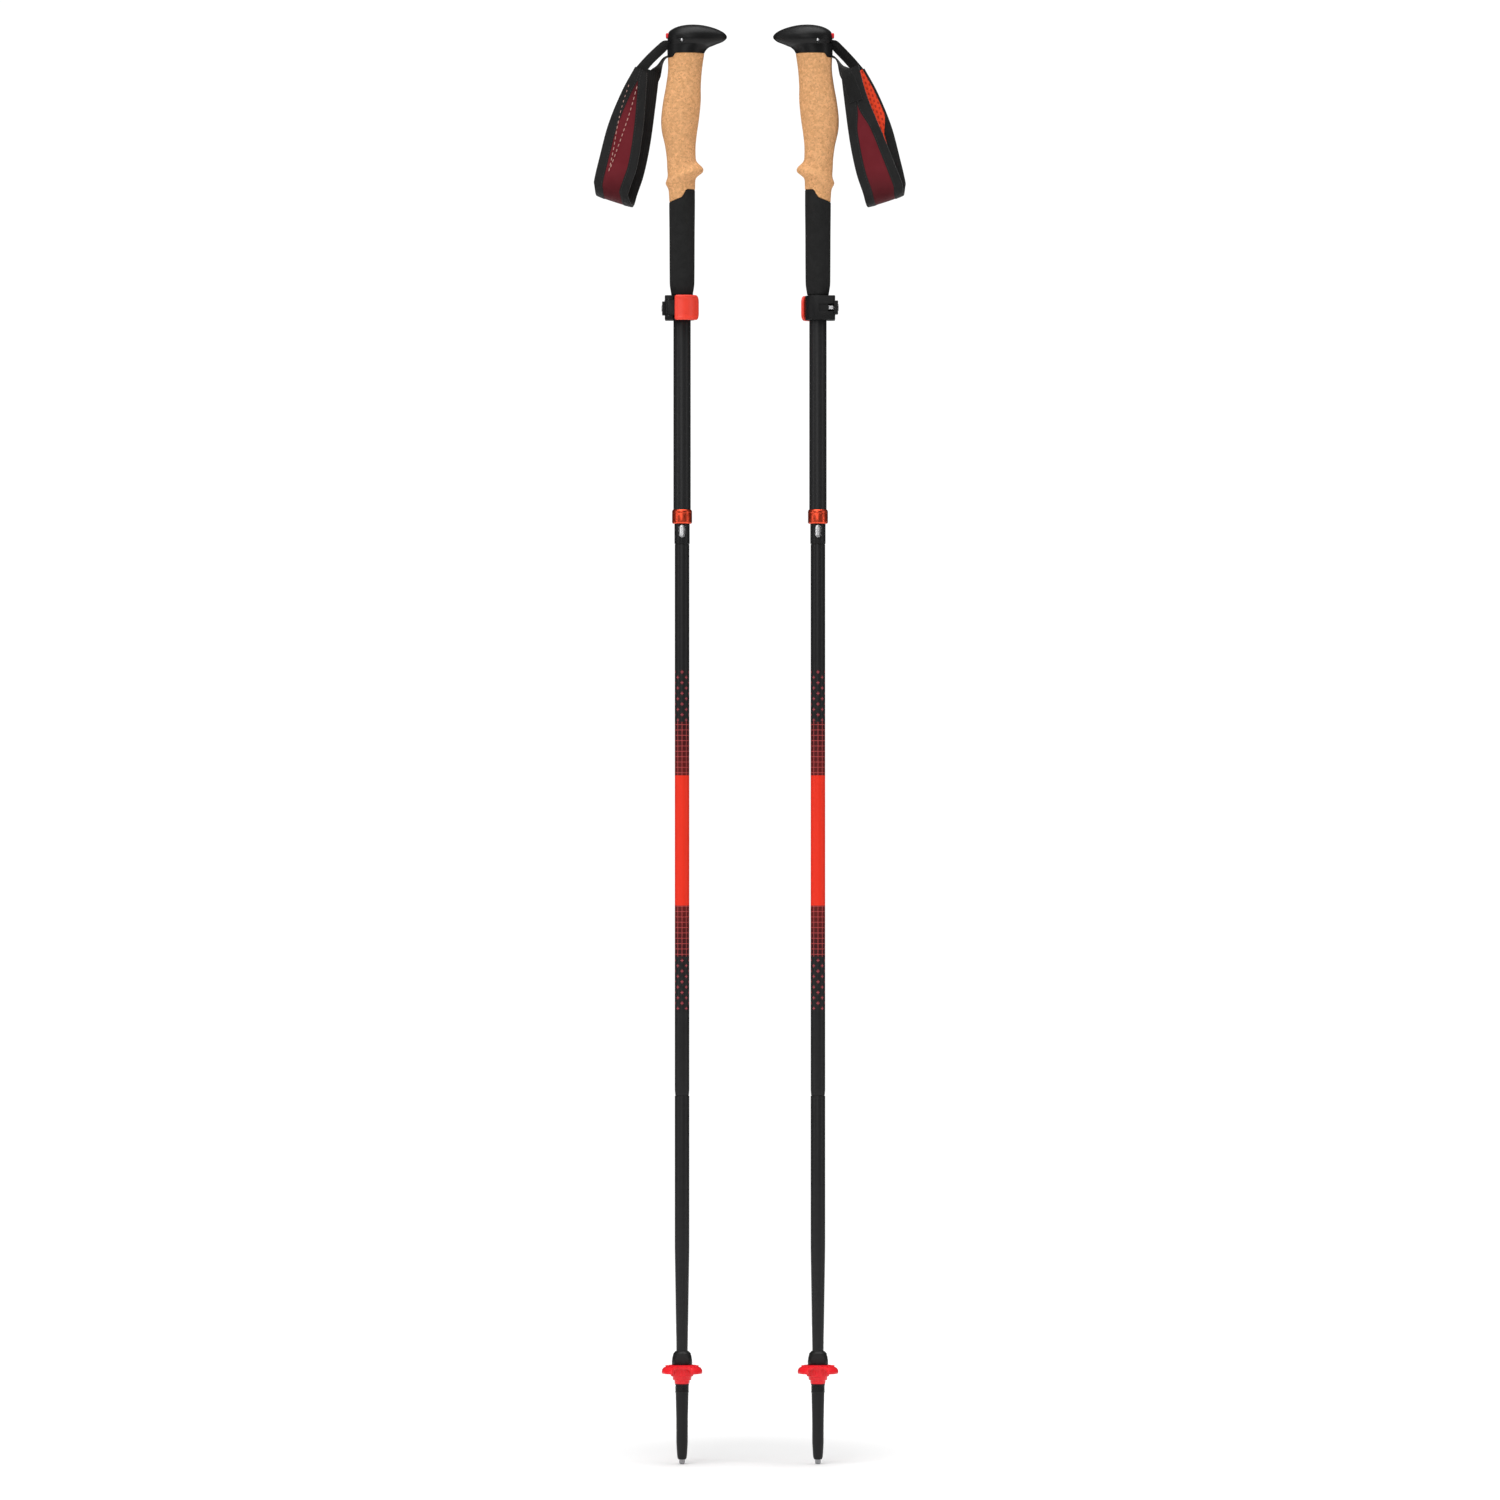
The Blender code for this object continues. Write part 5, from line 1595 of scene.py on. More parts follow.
def make_lever(side):
    """A coral cover wrapped round the front of the band, and the black hub and arms that carry it."""
    place = handle_place(side)
    body = f"{side}_lever"
    inner = BAND_R + 0.0009
    middle = inner + 0.00145
    half_u = middle * math.radians(56)
    half_v = (CLAMP_TOP - CLAMP_LOW) / 2
    profile = [
        (0.0100, 0.0),
        (0.0060, 0.0),
        (0.0025, 0.0),
        (0.0005, 0.0),
        (0.0, 0.0005),
        (0.0, 0.0019),
        (0.0002, 0.0024),
        (0.0006, 0.0027),
        (0.0012, 0.0029),
        (0.0019, 0.0029),
        (0.0025, 0.0027),
        (0.0031, 0.0024),
        (0.0040, 0.0023),
        (0.0060, 0.0023),
        (0.0085, 0.0023),
        (0.0103, 0.0023),
    ]

    def lay(u, v, h):
        angle = math.radians(-61) + u / middle
        r = inner + h
        return (r * math.cos(angle), r * math.sin(angle), CLAMP_MID + v)

    rings = []
    for inset, h in profile:
        outline = rounded(half_u, half_v, 0.0064, inset, side=16, turn=8, far_corner=0.0020)
        rings.append([lay(u, v, h) for u, v in outline])
    cover = new_object(f"{side}_lever_cover", skin("lever cover", rings, smooth=50.0), finish("coral"))
    seat(cover, place, body, "coral", f"{side}_clamp_lever")
    low, high = CLAMP_MID - HUB_HALF, CLAMP_MID + HUB_HALF
    arm_back = -BAND_R - 0.0004
    outline = [
        (LEVER_PIN.x, LEVER_PIN.y - HUB_R),
        (-0.0045, -BAND_R - 0.0013),
        (-0.0045, arm_back + 0.0006),
        (LEVER_PIN.x, arm_back + 0.0006),
    ]
    hub = prism(f"{side}_lever_hub", outline, low, high, 0.0)
    drum = prism("drum", arc(HUB_R, 0, 351, 39, (LEVER_PIN.x, LEVER_PIN.y)), low, high, 0.0005)
    carve(hub, [drum], "UNION")
    carve(hub, [rod(PIN_HOLE_R, 0.04, (0, 0, 1), LEVER_PIN)])
    dress(hub, "soft black")
    seat(hub, place, body, "black_plastic")
    pin_half = (CLAMP_TOP - CLAMP_LOW) / 2 - 0.0006
    profile = [(0, pin_half), (0.0009, pin_half), (0.0012, pin_half - 0.0003)]
    profile += [(r, -z) for r, z in reversed(profile)]
    pin = new_object(f"{side}_hinge_pin", lathe("hinge pin", profile, sides=28), finish("steel"))
    pin.data.transform(Matrix.Translation(LEVER_PIN))
    seat(pin, place, f"{side}_handle", "silver", f"{side}_lever_pin")


def make_screw(side):
    place = handle_place(side)
    profile = [
        (0.0, 0.0),
        (0.0024, 0.0),
        (0.0030, -0.0003),
        (0.0030, -0.0014),
        (0.0015, -0.0014),
        (0.0015, -0.0088),
        (0.0012, -0.0090),
        (0.0, -0.0090),
    ]
    screw = new_object(f"{side}_screw_head", lathe("screw", profile, sides=40), finish("steel"))
    carve(screw, [block((-0.004, -0.0004, -0.0007), (0.004, 0.0004, 0.001))])
    lay = Matrix.Translation((BLOCK_X - NUB_OUT - 0.0005, SCREW_Y, CLAMP_MID))
    screw.data.transform(lay @ Matrix.Rotation(-math.pi / 2, 4, "Y"))
    seat(screw, place, f"{side}_screw", "silver", f"{side}_tension_screw")
    low, high = BLOCK_X + 0.0013, BLOCK_X + 0.0059
    profile = [
        (0.0018, high),
        (0.0024, high),
        (0.0028, high - 0.0004),
        (0.0028, low + 0.0004),
        (0.0024, low),
        (0.0018, low),
    ]
    nut = new_object(f"{side}_nut", lathe("barrel nut", profile, closed=True, sides=40), finish("steel"))
    nut.data.transform(Matrix.Translation((0, SCREW_Y, CLAMP_MID)) @ Matrix.Rotation(math.pi / 2, 4, "Y"))
    seat(nut, place, f"{side}_handle", "silver", f"{side}_barrel_nut")


# ---- slide tube, collar, sleeve and button ----


def make_slide(side):
    place = shaft_place(side)
    body = f"{side}_slide"
    low, high = span("slide_tube")
    profile = [
        (SLIDE_R - 0.0002, high),
        (SLIDE_R, high - 0.0003),
        (SLIDE_R, low),
        (SLEEVE_R + 0.0002, low),
        (SLEEVE_R + 0.0002, high),
    ]
    tube = lathe("slide", profile, closed=True)
    tube = new_object(f"{side}_slide_shell", tube, finish("grey tube"))
    seat(tube, place, body, "carbon", f"{side}_slide_tube")
    r = radius("collar")
    lip = 0.0016
    profile = [
        (SLIDE_R + 0.0004, COLLAR_TOP),
        (r - 0.0006, COLLAR_TOP - 0.0003),
        (r - 0.0002, COLLAR_TOP - 0.0008),
        (r, COLLAR_TOP - 0.0016),
        (r, COLLAR_TOP - 0.0030),
        (r - 0.00012, COLLAR_TOP - 0.0032),
        (r, COLLAR_TOP - 0.0034),
        (r, COLLAR_LOW + 0.0012),
        (r - 0.0002, COLLAR_LOW + 0.0006),
        (r - 0.0006, COLLAR_LOW + 0.0002),
        (r - 0.0010, COLLAR_LOW),
        (SLEEVE_R + 0.0003, COLLAR_LOW),
        (SLEEVE_R + 0.0003, COLLAR_LOW + lip),
        (SLIDE_R + 0.0003, COLLAR_LOW + lip),
        (SLIDE_R + 0.0003, COLLAR_TOP),
    ]
    collar = lathe("collar", profile, closed=True, sides=96)
    collar = new_object(f"{side}_collar_ring", collar, finish("anodised"))
    seat(collar, place, body, "orange_metal", f"{side}_collar")


CONE_BASE = 0.0052
CONE_TIP = 0.00334
CONE_PLAY = 0.00025
BUTTON_HALF = 0.0054
BUTTON_MIDDLE = COLLAR_LOW - 0.0012 - BUTTON_HALF


def pill(width, height):
    r = width / 2
    rise = height / 2 - r
    return [*arc(r, 0, 180, 10, (0, rise)), *arc(r, 180, 360, 10, (0, -rise))]


LEAF_SECTION = ((-0.0015, 0.0), (0.0015, 0.0), (0.0015, 0.0004), (-0.0015, 0.0004))
LEAF_STRAIGHT = 0.0114
LEAF_BENT = 0.0204
LEAF_STEPS = 9


def make_button(side):
    place = shaft_place(side)
    middle = BUTTON_MIDDLE
    top = span("button_sleeve")[1]
    inner = SLEEVE_R - 0.0012
    tip, base = CONE_TIP + CONE_PLAY, CONE_BASE + CONE_PLAY
    profile = [
        (SLEEVE_R, top),
        (SLEEVE_R, UPPER_JOINT + 0.0006),
        (SLEEVE_R - 0.0001, UPPER_JOINT + 0.0002),
        (SLEEVE_R - 0.0004, UPPER_JOINT),
        (base, UPPER_JOINT),
        (tip, UPPER_JOINT + CONE_LENGTH),
        (tip, UPPER_JOINT + CONE_LENGTH + 0.0016),
        (inner, UPPER_JOINT + CONE_LENGTH + 0.0016),
        (inner, top),
    ]
    sleeve = lathe("sleeve", profile, closed=True)
    sleeve = new_object(f"{side}_sleeve", sleeve, finish("tube"))
    hole = standing(pill(0.0053, 0.0113), -SLEEVE_R - 0.003, -SLEEVE_R + 0.0037, 0.0)
    hole.data.transform(Matrix.Translation((0, 0, middle)))
    chamber = block(
        (-0.0032, -SLEEVE_R + 0.0023, middle - 0.0060), (0.0032, 0.0, middle + 0.0070)
    )
    carve(sleeve, [hole, chamber])
    seat(sleeve, place, f"{side}_slide", "black_plastic", f"{side}_button_sleeve")
    face = -SLEEVE_R - 0.0010
    button = standing(pill(0.0048, 2 * BUTTON_HALF), face, face + 0.0038, 0.0004)
    slot = standing(pill(0.0016, 0.0072), face - 0.002, face + 0.0004, 0.0)
    flange = block((-0.0028, face + 0.0036, -0.0044), (0.0028, face + 0.0043, 0.0062))
    button.name = f"{side}_push_button"
    carve(button, [flange], "UNION")
    carve(button, [slot], smooth=40.0)
    button.data.transform(Matrix.Translation((0, 0, middle)))
    dress(button, "steel")
    seat(button, place, f"{side}_button", "silver", f"{side}_release_button")


def make_spring(side):
    """The button's leaf spring: it lies on the sleeve's wall above, and the button pushes it in below."""
    low, high = span("button_spring")
    touch, wall = -SLEEVE_R + 0.0034, -SLEEVE_R + 0.0021
    line = ((low, touch), (low + LEAF_STRAIGHT, touch), (low + LEAF_BENT, wall), (high, wall))
    rings = []
    for (z, y), (next_z, next_y) in zip(line, line[1:]):
        for k in range(LEAF_STEPS):
            at_z = z + (next_z - z) * k / LEAF_STEPS
            at_y = y + (next_y - y) * k / LEAF_STEPS
            rings.append([(x, at_y + t, at_z) for x, t in LEAF_SECTION])
    rings.append([(x, wall + t, high) for x, t in LEAF_SECTION])
    leaf = new_object(f"{side}_leaf_spring", skin("leaf spring", rings), finish("steel"))
    leaf.data.transform(shaft_place(side))
    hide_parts(f"{side}_button_spring")
    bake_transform(leaf)


# ---- folding tubes ----


def socket(joint):
    tip, base = CONE_TIP + CONE_PLAY, CONE_BASE + CONE_PLAY
    return [(tip, joint + CONE_LENGTH + 0.0016), (tip, joint + CONE_LENGTH), (base, joint + 0.00015)]


def make_cone(side, name, joint, tube_inner, body):
    plug = tube_inner - 0.0003
    profile = [
        (CONE_TIP - 0.0004, joint + CONE_LENGTH),
        (CONE_TIP, joint + CONE_LENGTH - 0.0004),
        (CONE_BASE, joint),
        (CONE_BASE, joint - 0.0006),
        (plug, joint - 0.0010),
        (plug, joint - 0.018),
        (0.0016, joint - 0.018),
        (0.0016, joint + CONE_LENGTH - 0.0003),
        (0.0019, joint + CONE_LENGTH),
    ]
    cone = lathe("cone", profile, closed=True, sides=48)
    cone = new_object(f"{side}_{name}_insert", cone, finish("soft black"))
    seat(cone, shaft_place(side), body, "black_plastic", f"{side}_{name}_cone")


def make_shafts(side):
    place = shaft_place(side)
    inner = TUBE_R - 0.0006
    upper, lower = UPPER_JOINT, LOWER_JOINT
    wall = socket(lower)
    profile = [
        (TUBE_R - 0.0003, upper - 0.00015),
        (TUBE_R - 0.0001, upper - 0.0003),
        (TUBE_R, upper - 0.0008),
        *[(TUBE_R, PRINT[key]) for key in ("cross_top", "grid_top", "band_top", "band_low", "cross_low")],
        (TUBE_R, lower + 0.005),
        (TUBE_R - 0.0004, lower + 0.00015),
        *reversed(wall),
        (inner, wall[0][1] + 0.001),
        (inner, upper - 0.00015),
    ]
    tube = lathe("middle", profile, closed=True, sides=80)
    tube = new_object(f"{side}_middle_shell", tube, finish("printed"))
    seat(tube, place, f"{side}_middle", "carbon", f"{side}_middle_tube")
    make_cone(side, "upper", upper, inner, f"{side}_middle")
    bottom, taper_top = TIP_TOP - 0.0075, TIP_TOP + 0.088
    end = 0.0048
    profile = [
        (TUBE_R - 0.0003, lower - 0.00015),
        (TUBE_R - 0.0001, lower - 0.0003),
        (TUBE_R, lower - 0.0008),
        (TUBE_R, taper_top + 0.004),
        (TUBE_R - 0.00004, taper_top),
        (end, bottom),
        (end - 0.0006, bottom),
        (TUBE_R - 0.0006, taper_top),
        (TUBE_R - 0.0006, lower - 0.00015),
    ]
    tube = lathe("lower", profile, closed=True, sides=80)
    tube = new_object(f"{side}_lower_shell", tube, finish("tube"))
    seat(tube, place, f"{side}_lower", "carbon", f"{side}_lower_tube")
    make_cone(side, "lower", lower, TUBE_R - 0.0006, f"{side}_lower")


def cord_mesh(low, high, dense):
    """A straight round cord, with close rings at the fold."""
    r, steps = 0.0012, 48
    levels = [low + (dense - 0.0008 - low) * k / 6 for k in range(6)]
    levels += [dense - 0.0008 + 0.0016 * k / steps for k in range(steps + 1)]
    levels += [dense + 0.0008 + (high - dense - 0.0008) * k / 6 for k in range(1, 7)]
    profile = [(0.0, low), *[(r, z) for z in levels], (0.0, high)]
    return lathe("cord", profile, sides=20)


def make_cords(side):
    """A short, straight run of cord through each fold, from the socket into the cone."""
    place = shaft_place(side)
    runs = (
        ("upper", UPPER_JOINT, f"{side}_slide", f"{side}_middle"),
        ("lower", LOWER_JOINT, f"{side}_middle", f"{side}_lower"),
    )
    for name, joint, above, below in runs:
        bend = joint + CONE_LENGTH
        mesh = cord_mesh(bend - 0.016, bend + 0.016, bend)
        cord = new_object(f"{side}_{name}_fold_cord", mesh, finish("cord"))
        cord.data.transform(place)
        bend + 0.0005
        bend - 0.0005
        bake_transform(cord)
    core = finish("cord core")
    for name in ("cord_anchor", "cord_middle", "cord_lower"):
        give(side, name, core)


def give(side, name, material):
    """Puts a finish on a CAD node that stays."""
    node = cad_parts[f"{side}_{name}"]
    for slot in node.material_slots:
        slot.material = material
    if not node.material_slots:
        node.data.materials.append(material)


def make_inside(side):
    give(side, "slide_bushing", finish("black"))


# ---- tip and basket ----


def thread_tree():
    if "thread" in TREES:
        return TREES["thread"]
    number = "NodeSocketFloat"
    g, given, out = geometry_tree(
        "Screw Thread",
        {
            "Turns": (number, 5.0),
            "Lower Radius": (number, 0.006),
            "Upper Radius": (number, 0.006),
            "Height": (number, 0.005),
            "Thickness": (number, 0.0003),
            "Finish": ("NodeSocketMaterial", None),
        },
    )
    spiral = g.node("GeometryNodeCurveSpiral", {"Resolution": 48})
    for key, source in (
        ("Rotations", "Turns"),
        ("Start Radius", "Lower Radius"),
        ("End Radius", "Upper Radius"),
        ("Height", "Height"),
    ):
        g.plug(spiral.inputs[key], given.outputs[source])
    ring = g.node("GeometryNodeCurvePrimitiveCircle", {"Resolution": 8}, mode="RADIUS")
    g.plug(ring.inputs["Radius"], given.outputs["Thickness"])
    body = g.node("GeometryNodeCurveToMesh", {0: g.wire(spiral), 1: g.wire(ring), "Fill Caps": True})
    real = g.node("GeometryNodeRealizeInstances", {0: g.wire(body)})
    return close_tree("thread", g, given, out, real)


def rib_tree():
    if "ribs" in TREES:
        return TREES["ribs"]
    number = "NodeSocketFloat"
    g, given, out = geometry_tree(
        "Rim Ribs",
        {
            "Count": ("NodeSocketInt", 20),
            "Radius": (number, 0.013),
            "Height": (number, 0.08),
            "Length": (number, 0.005),
            "Width": (number, 0.0008),
            "Drop": (number, 0.0005),
            "Finish": ("NodeSocketMaterial", None),
        },
    )
    ring = g.node("GeometryNodeMeshCircle", fill_type="NONE")
    g.plug(ring.inputs["Vertices"], given.outputs["Count"])
    g.plug(ring.inputs["Radius"], given.outputs["Radius"])
    ball = g.node("GeometryNodeMeshUVSphere", {"Segments": 10, "Rings": 8, "Radius": 1.0})
    position = g.node("GeometryNodeInputPosition")
    outward = g.node("FunctionNodeAlignRotationToVector", {"Vector": g.wire(position)}, axis="X")
    size = g.node("ShaderNodeCombineXYZ")
    for k, key in enumerate(("Length", "Width", "Drop")):
        g.plug(size.inputs[k], given.outputs[key])
    beads = g.node(
        "GeometryNodeInstanceOnPoints", {"Points": g.wire(ring), "Instance": g.wire(ball, "Mesh")}
    )
    g.plug(beads.inputs["Rotation"], g.wire(outward))
    g.plug(beads.inputs["Scale"], g.wire(size))
    real = g.node("GeometryNodeRealizeInstances", {0: g.wire(beads)})
    lift = g.node("ShaderNodeCombineXYZ")
    g.plug(lift.inputs[2], given.outputs["Height"])
    raised = g.node("GeometryNodeTransform", {0: g.wire(real), "Translation": g.wire(lift)})
    return close_tree("ribs", g, given, out, raised)


def grown(name, tree, values):
    """A piece that a geometry tree makes by itself, from a mesh of one point."""
    mesh = bpy.data.meshes.new(name)
    mesh.from_pydata([(0, 0, 0)], [], [])
    return grow(new_object(name, mesh), tree, values)


def make_tip(side):
    place = shaft_place(side)
    body = f"{side}_lower"
    stop = TIP_TOP - 0.0115
    hub = BASKET_LOW
    profile = [
        (0.0051, stop + 0.0037),
        (0.0051, TIP_TOP),
        (0.0057, TIP_TOP),
        (0.0061, TIP_TOP - 0.0004),
        (0.0075, TIP_TOP - 0.0019),
        (0.0084, TIP_TOP - 0.0055),
        (0.0088, TIP_TOP - 0.0085),
        (0.0089, stop + 0.0006),
        (0.0087, stop),
        (0.0057, stop),
        (0.0057, hub - 0.0004),
        (0.0061, hub - 0.0005),
        (0.0061, hub - 0.0012),
        (0.0056, hub - 0.0014),
        (0.0056, hub - 0.0062),
        (0.0059, hub - 0.0064),
        (0.0059, hub - 0.0074),
        (0.0056, hub - 0.0080),
        (0.0051, CARBIDE_OUT + 0.0357),
        (0.0050, CARBIDE_OUT + 0.0150),
        (0.0047, CARBIDE_OUT + 0.0090),
        (0.0044, CARBIDE_OUT + 0.0044),
        (0.0041, CARBIDE_OUT + 0.0018),
        (0.0036, CARBIDE_OUT + 0.0004),
        (0.0031, CARBIDE_OUT),
        (0.0028, CARBIDE_OUT),
        (0.0028, CARBIDE_OUT + 0.012),
        (0.0, CARBIDE_OUT + 0.012),
    ]
    profile = [(0.0, stop + 0.0037), *profile]
    boot = new_object(f"{side}_tip_boot", lathe("tip boot", profile, sides=72), finish("soft black"))
    facets = []
    for k in range(2):
        turn = Matrix.Rotation(math.pi * k, 4, "Z")
        slab = block((-0.006, -0.012, -0.012), (0.006, -0.0001, 0.012))
        lean = Matrix.Rotation(math.atan2(0.0017, 0.0090), 4, "X")
        slab.data.transform(turn @ Matrix.Translation((0, -0.0063, TIP_TOP - 0.0062)) @ lean)
        facets.append(slab)
    carve(boot, facets, smooth=25.0)
    seat(boot, place, body, "black_plastic", f"{side}_tip")
    values = {
        "Turns": 4.0,
        "Lower Radius": 0.0057,
        "Upper Radius": 0.0057,
        "Height": 0.0042,
        "Thickness": 0.00030,
        "Finish": finish("soft black"),
    }
    thread = grown(f"{side}_basket_thread", thread_tree(), values)
    thread.data.transform(Matrix.Translation((0, 0, hub - 0.0060)))
    seat(thread, place, body, "black_plastic")
    profile = [
        (0.0, 0.0),
        (0.0012, 0.0),
        (0.0020, 0.0003),
        (0.0024, 0.0009),
        (0.0025, 0.0018),
        (0.0025, CARBIDE_OUT + 0.0117),
        (0.0, CARBIDE_OUT + 0.0117),
    ]
    point = new_object(f"{side}_point", lathe("point", profile, sides=40), finish("carbide"))
    dish = rod(0.0016, 0.0008, (0, 0, 1), (0, 0, 0.0), sides=24)
    carve(point, [dish])
    seat(point, place, body, "carbide", f"{side}_carbide_tip")


def make_basket(side):
    place = shaft_place(side)
    body = f"{side}_basket_ring"
    top, low = BASKET_TOP, BASKET_LOW
    hub = 0.0096
    rim = radius("basket")
    bore = 0.0060
    profile = [
        (hub - 0.0004, top),
        (hub + 0.0012, top - 0.0004),
        (hub + 0.0034, top - 0.0010),
        (rim - 0.0030, top - 0.0019),
        (rim - 0.0014, top - 0.0028),
        (rim - 0.0005, top - 0.0040),
        (rim - 0.0001, top - 0.0056),
        (rim, top - 0.0071),
        (rim - 0.0002, top - 0.0075),
        (rim - 0.0009, top - 0.0075),
        (rim - 0.0012, top - 0.0070),
        (rim - 0.0020, top - 0.0050),
        (rim - 0.0030, top - 0.0040),
        (hub + 0.0030, top - 0.0030),
        (hub + 0.0004, top - 0.0030),
        (hub, top - 0.0036),
        (hub, top - 0.0096),
        (hub - 0.0003, top - 0.0100),
        (hub - 0.0013, top - 0.0101),
        (hub - 0.0014, top - 0.0105),
        (hub - 0.0015, top - 0.0128),
        (hub - 0.0018, top - 0.0132),
        (bore + 0.0008, top - 0.0134),
        (bore + 0.0006, top - 0.0138),
        (bore + 0.0005, low + 0.0002),
        (bore + 0.0003, low),
        (bore, low),
        (bore, top),
    ]
    basket = new_object(f"{side}_basket_rim", lathe("basket", profile, closed=True, sides=96))
    notches = [
        rod(0.0110, 0.02, (0, 0, 1), (0, sign * (rim + 0.0042), top - 0.0011), sides=64)
        for sign in (1, -1)
    ]
    carve(basket, notches, smooth=35.0)
    dress(basket, "red")
    seat(basket, place, body, "red_plastic", f"{side}_basket")
    values = {
        "Count": detail().rib_count,
        "Radius": 0.0124,
        "Height": top - 0.0010,
        "Length": 0.0026,
        "Width": 0.00035,
        "Drop": 0.0004,
        "Finish": finish("red"),
    }
    ribs = grown(f"{side}_basket_ribs", rib_tree(), values)
    seat(ribs, place, body, "red_plastic")
    values.update({"Count": 24, "Radius": hub, "Height": top - 0.0068})
    values.update({"Length": 0.0004, "Width": 0.00045, "Drop": 0.0028})
    ribs = grown(f"{side}_hub_ribs", rib_tree(), values)
    seat(ribs, place, body, "red_plastic")


# ---- stage ----


def make_stage():
    scene = bpy.context.scene
    settings = scene.pole_stage
    camera = bpy.data.cameras.new("camera")
    eye = bpy.data.objects.new("camera", camera)
    scene.collection.objects.link(eye)
    eye.location = (0, -settings.camera_distance, settings.camera_height)
    eye.rotation_euler = (math.pi / 2, 0, 0)
    camera.sensor_width = 36.0
    camera.lens = 36.0 * settings.camera_distance / settings.picture_width
    camera.clip_end = 50.0
    scene.camera = eye
    scene.view_settings.view_transform = "Standard"

    bm = bmesh.new()
    bmesh.ops.create_circle(bm, cap_ends=True, segments=96, radius=1.7)
    bmesh.ops.translate(bm, vec=(0, 0, -0.0002), verts=bm.verts)
    mat, g, shader = new_finish("floor", Roughness=0.85, Specular_IOR_Level=0.1)
    mottle = g.noise(g.place(), 3.0, 3.0)
    # A painted shadow: the floor's colour is darker in a soft patch round and behind the poles' feet.
    spread = g.node("ShaderNodeMapping", {"Vector": g.place()})
    spread.inputs["Location"].default_value = (0.0, -0.42, 0.0)
    spread.inputs["Scale"].default_value = (4.2, 3.2, 1.0)
    painted_shadow_distance = g.node("ShaderNodeVectorMath", {0: g.wire(spread)}, operation="LENGTH")
    pale = g.blend(mottle, (0.93, 0.93, 0.93), (0.96, 0.96, 0.96))
    near = g.ramp(g.wire(painted_shadow_distance, "Value"), 0.15, 1.0, 1.0, 0.0)
    g.plug(shader.inputs["Base Color"], g.blend(near, pale, (0.72, 0.72, 0.72)))
    floor = new_object("floor", to_mesh("floor", bm), mat)

    world = bpy.data.worlds.new("studio")
    world.use_nodes = True
    scene.world = world
    g = Graph(world.node_tree)
    world.node_tree.nodes.clear()
    path = g.node("ShaderNodeLightPath")
    glossy = g.wire(path, "Is Glossy Ray")
    strength = g.ramp(glossy, 0.0, 1.0, 0.26, 0.05).high(g.wire(path, "Is Camera Ray") * 1.05)
    sky = g.node("ShaderNodeBackground", {"Color": (1.0, 1.0, 1.0, 1.0), "Strength": strength})
    out = g.node("ShaderNodeOutputWorld")
    g.plug(out.inputs["Surface"], g.wire(sky))

    def light(name, kind, strength, at, aim):
        lamp = bpy.data.lights.new(name, kind)
        lamp.energy = strength
        obj = bpy.data.objects.new(name, lamp)
        obj.location = at
        obj.rotation_euler = Vector(aim).to_track_quat("-Z", "Y").to_euler()
        scene.collection.objects.link(obj)
        return lamp

    def sun(name, strength, angle, direction):
        lamp = light(name, "SUN", strength, (0, 0, 0), direction)
        lamp.angle = math.radians(angle)

    def panel(name, strength, size, at, target):
        lamp = light(name, "AREA", strength, at, Vector(target) - Vector(at))
        lamp.shape = "RECTANGLE"
        lamp.size, lamp.size_y = size

    key = settings.key_light
    sun("key", key, 40, (0.35, 0.55, -0.75))
    sun("top", key * 2.1, 60, (-0.1, 0.05, -1.0))
    panel("front box", 15, (1.1, 1.8), (-0.5, -3.0, 1.5), (0, 0, 0.65))
    panel("left strip", 7, (0.35, 2.2), (-1.9, -0.9, 0.9), (0, 0, 0.65))
    panel("right strip", 6, (0.35, 2.2), (1.9, -0.8, 0.9), (0, 0, 0.65))


# ---- operators ----


class POLES_OT_stage(bpy.types.Operator):
    """Make the camera, the floor and the lights"""

    bl_idname = "poles.stage"
    bl_label = "Stage"
    bl_options = {"REGISTER", "UNDO"}

    def execute(self, context):
        make_stage()
        return {"FINISHED"}


class POLES_OT_grips(bpy.types.Operator):
    """Make the cork and foam grips and the upper tubes"""

    bl_idname = "poles.grips"
    bl_label = "Grips"
    bl_options = {"REGISTER", "UNDO"}

    def execute(self, context):
        for side in SIDES:
            make_grip(side)
        return {"FINISHED"}


class POLES_OT_pommels(bpy.types.Operator):
    """Make the pommels, their pins and the strap wedges"""

    bl_idname = "poles.pommels"
    bl_label = "Pommels"
    bl_options = {"REGISTER", "UNDO"}

    def execute(self, context):
        shell = pommel_shell()
        for side in SIDES:
            make_pommel(side, shell)
        bpy.data.objects.remove(shell)
        return {"FINISHED"}


class POLES_OT_straps(bpy.types.Operator):
    """Make the padded wrist straps and their webbing"""

    bl_idname = "poles.straps"
    bl_label = "Straps"
    bl_options = {"REGISTER", "UNDO"}

    def execute(self, context):
        for side in SIDES:
            make_strap(side)
        return {"FINISHED"}


class POLES_OT_clamps(bpy.types.Operator):
    """Make the clamps, their levers, screws and nuts"""

    bl_idname = "poles.clamps"
    bl_label = "Clamps"
    bl_options = {"REGISTER", "UNDO"}

    def execute(self, context):
        for side in SIDES:
            make_clamp_body(side)
            make_lever(side)
            make_screw(side)
        return {"FINISHED"}


class POLES_OT_slides(bpy.types.Operator):
    """Make the slide tubes, collars, sleeves and push buttons"""

    bl_idname = "poles.slides"
    bl_label = "Slides"
    bl_options = {"REGISTER", "UNDO"}

    def execute(self, context):
        for side in SIDES:
            make_slide(side)
            make_button(side)
            make_spring(side)
        return {"FINISHED"}


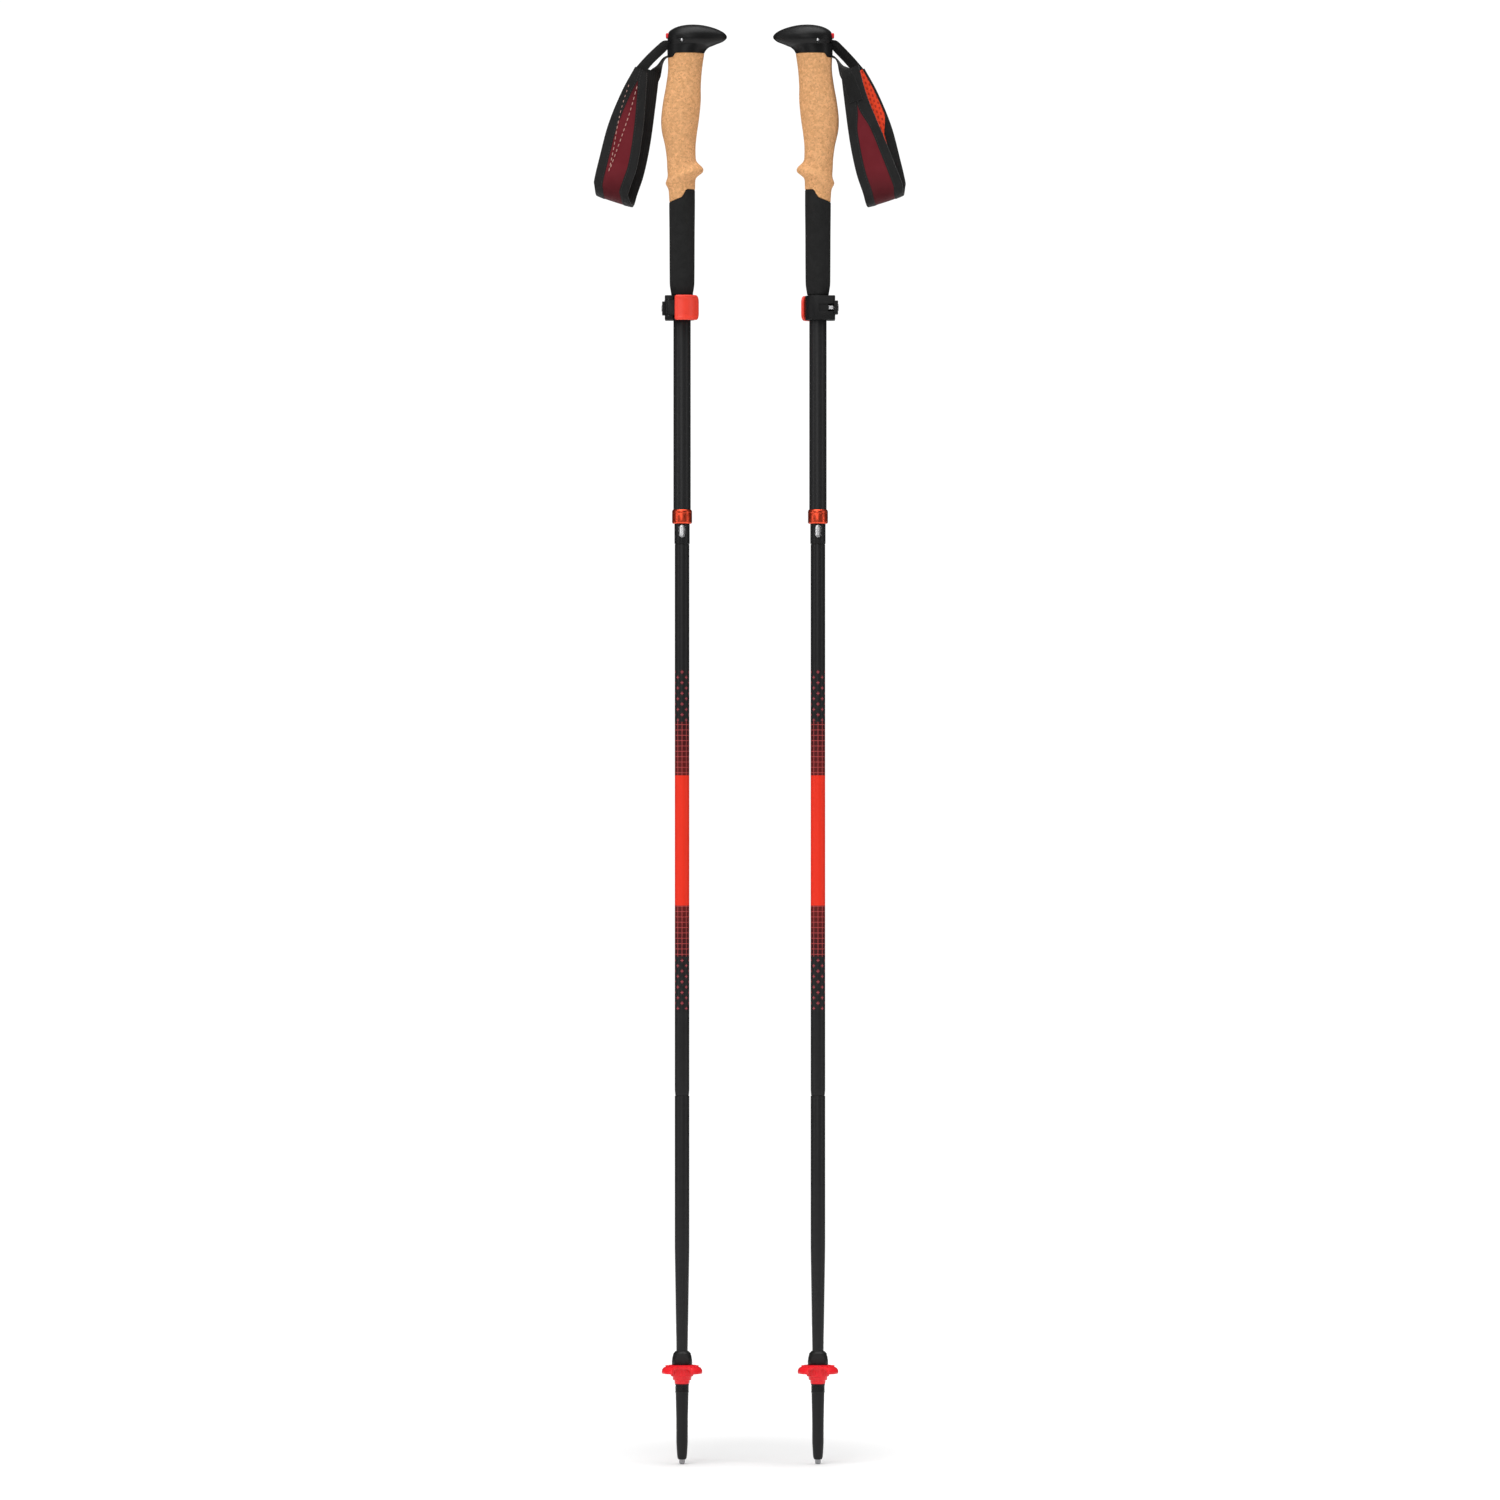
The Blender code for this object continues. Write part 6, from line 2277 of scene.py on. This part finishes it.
class POLES_OT_shafts(bpy.types.Operator):
    """Make the middle and lower tubes, their joints and the cord"""

    bl_idname = "poles.shafts"
    bl_label = "Shafts"
    bl_options = {"REGISTER", "UNDO"}

    def execute(self, context):
        for side in SIDES:
            make_shafts(side)
            make_cords(side)
            make_inside(side)
        return {"FINISHED"}


class POLES_OT_tips(bpy.types.Operator):
    """Make the tips and the baskets"""

    bl_idname = "poles.tips"
    bl_label = "Tips"
    bl_options = {"REGISTER", "UNDO"}

    def execute(self, context):
        for side in SIDES:
            make_tip(side)
            make_basket(side)
        return {"FINISHED"}


STEPS = ("stage", "grips", "pommels", "straps", "clamps", "slides", "shafts", "tips")


class POLES_PT_panel(bpy.types.Panel):
    """The settings, and a button for each step"""

    bl_label = "Trekking Poles"
    bl_space_type = "VIEW_3D"
    bl_region_type = "UI"
    bl_category = "Poles"

    def draw(self, context):
        layout = self.layout
        for settings in (context.scene.pole_looks, context.scene.pole_detail, context.scene.pole_stage):
            box = layout.box()
            for name in settings.bl_rna.properties.keys():
                if name not in ("rna_type", "name"):
                    box.prop(settings, name)
        for step in STEPS:
            layout.operator(f"poles.{step}")


CLASSES = (
    PoleLooks,
    PoleDetail,
    PoleStage,
    POLES_OT_stage,
    POLES_OT_grips,
    POLES_OT_pommels,
    POLES_OT_straps,
    POLES_OT_clamps,
    POLES_OT_slides,
    POLES_OT_shafts,
    POLES_OT_tips,
    POLES_PT_panel,
)


def register():
    for cls in CLASSES:
        bpy.utils.register_class(cls)
    bpy.types.Scene.pole_looks = PointerProperty(type=PoleLooks)
    bpy.types.Scene.pole_detail = PointerProperty(type=PoleDetail)
    bpy.types.Scene.pole_stage = PointerProperty(type=PoleStage)


def unregister():
    del bpy.types.Scene.pole_stage
    del bpy.types.Scene.pole_detail
    del bpy.types.Scene.pole_looks
    for cls in reversed(CLASSES):
        bpy.utils.unregister_class(cls)


def main():
    register()
    for step in STEPS:
        getattr(bpy.ops.poles, step)()


if __name__ == "__main__":
    main()
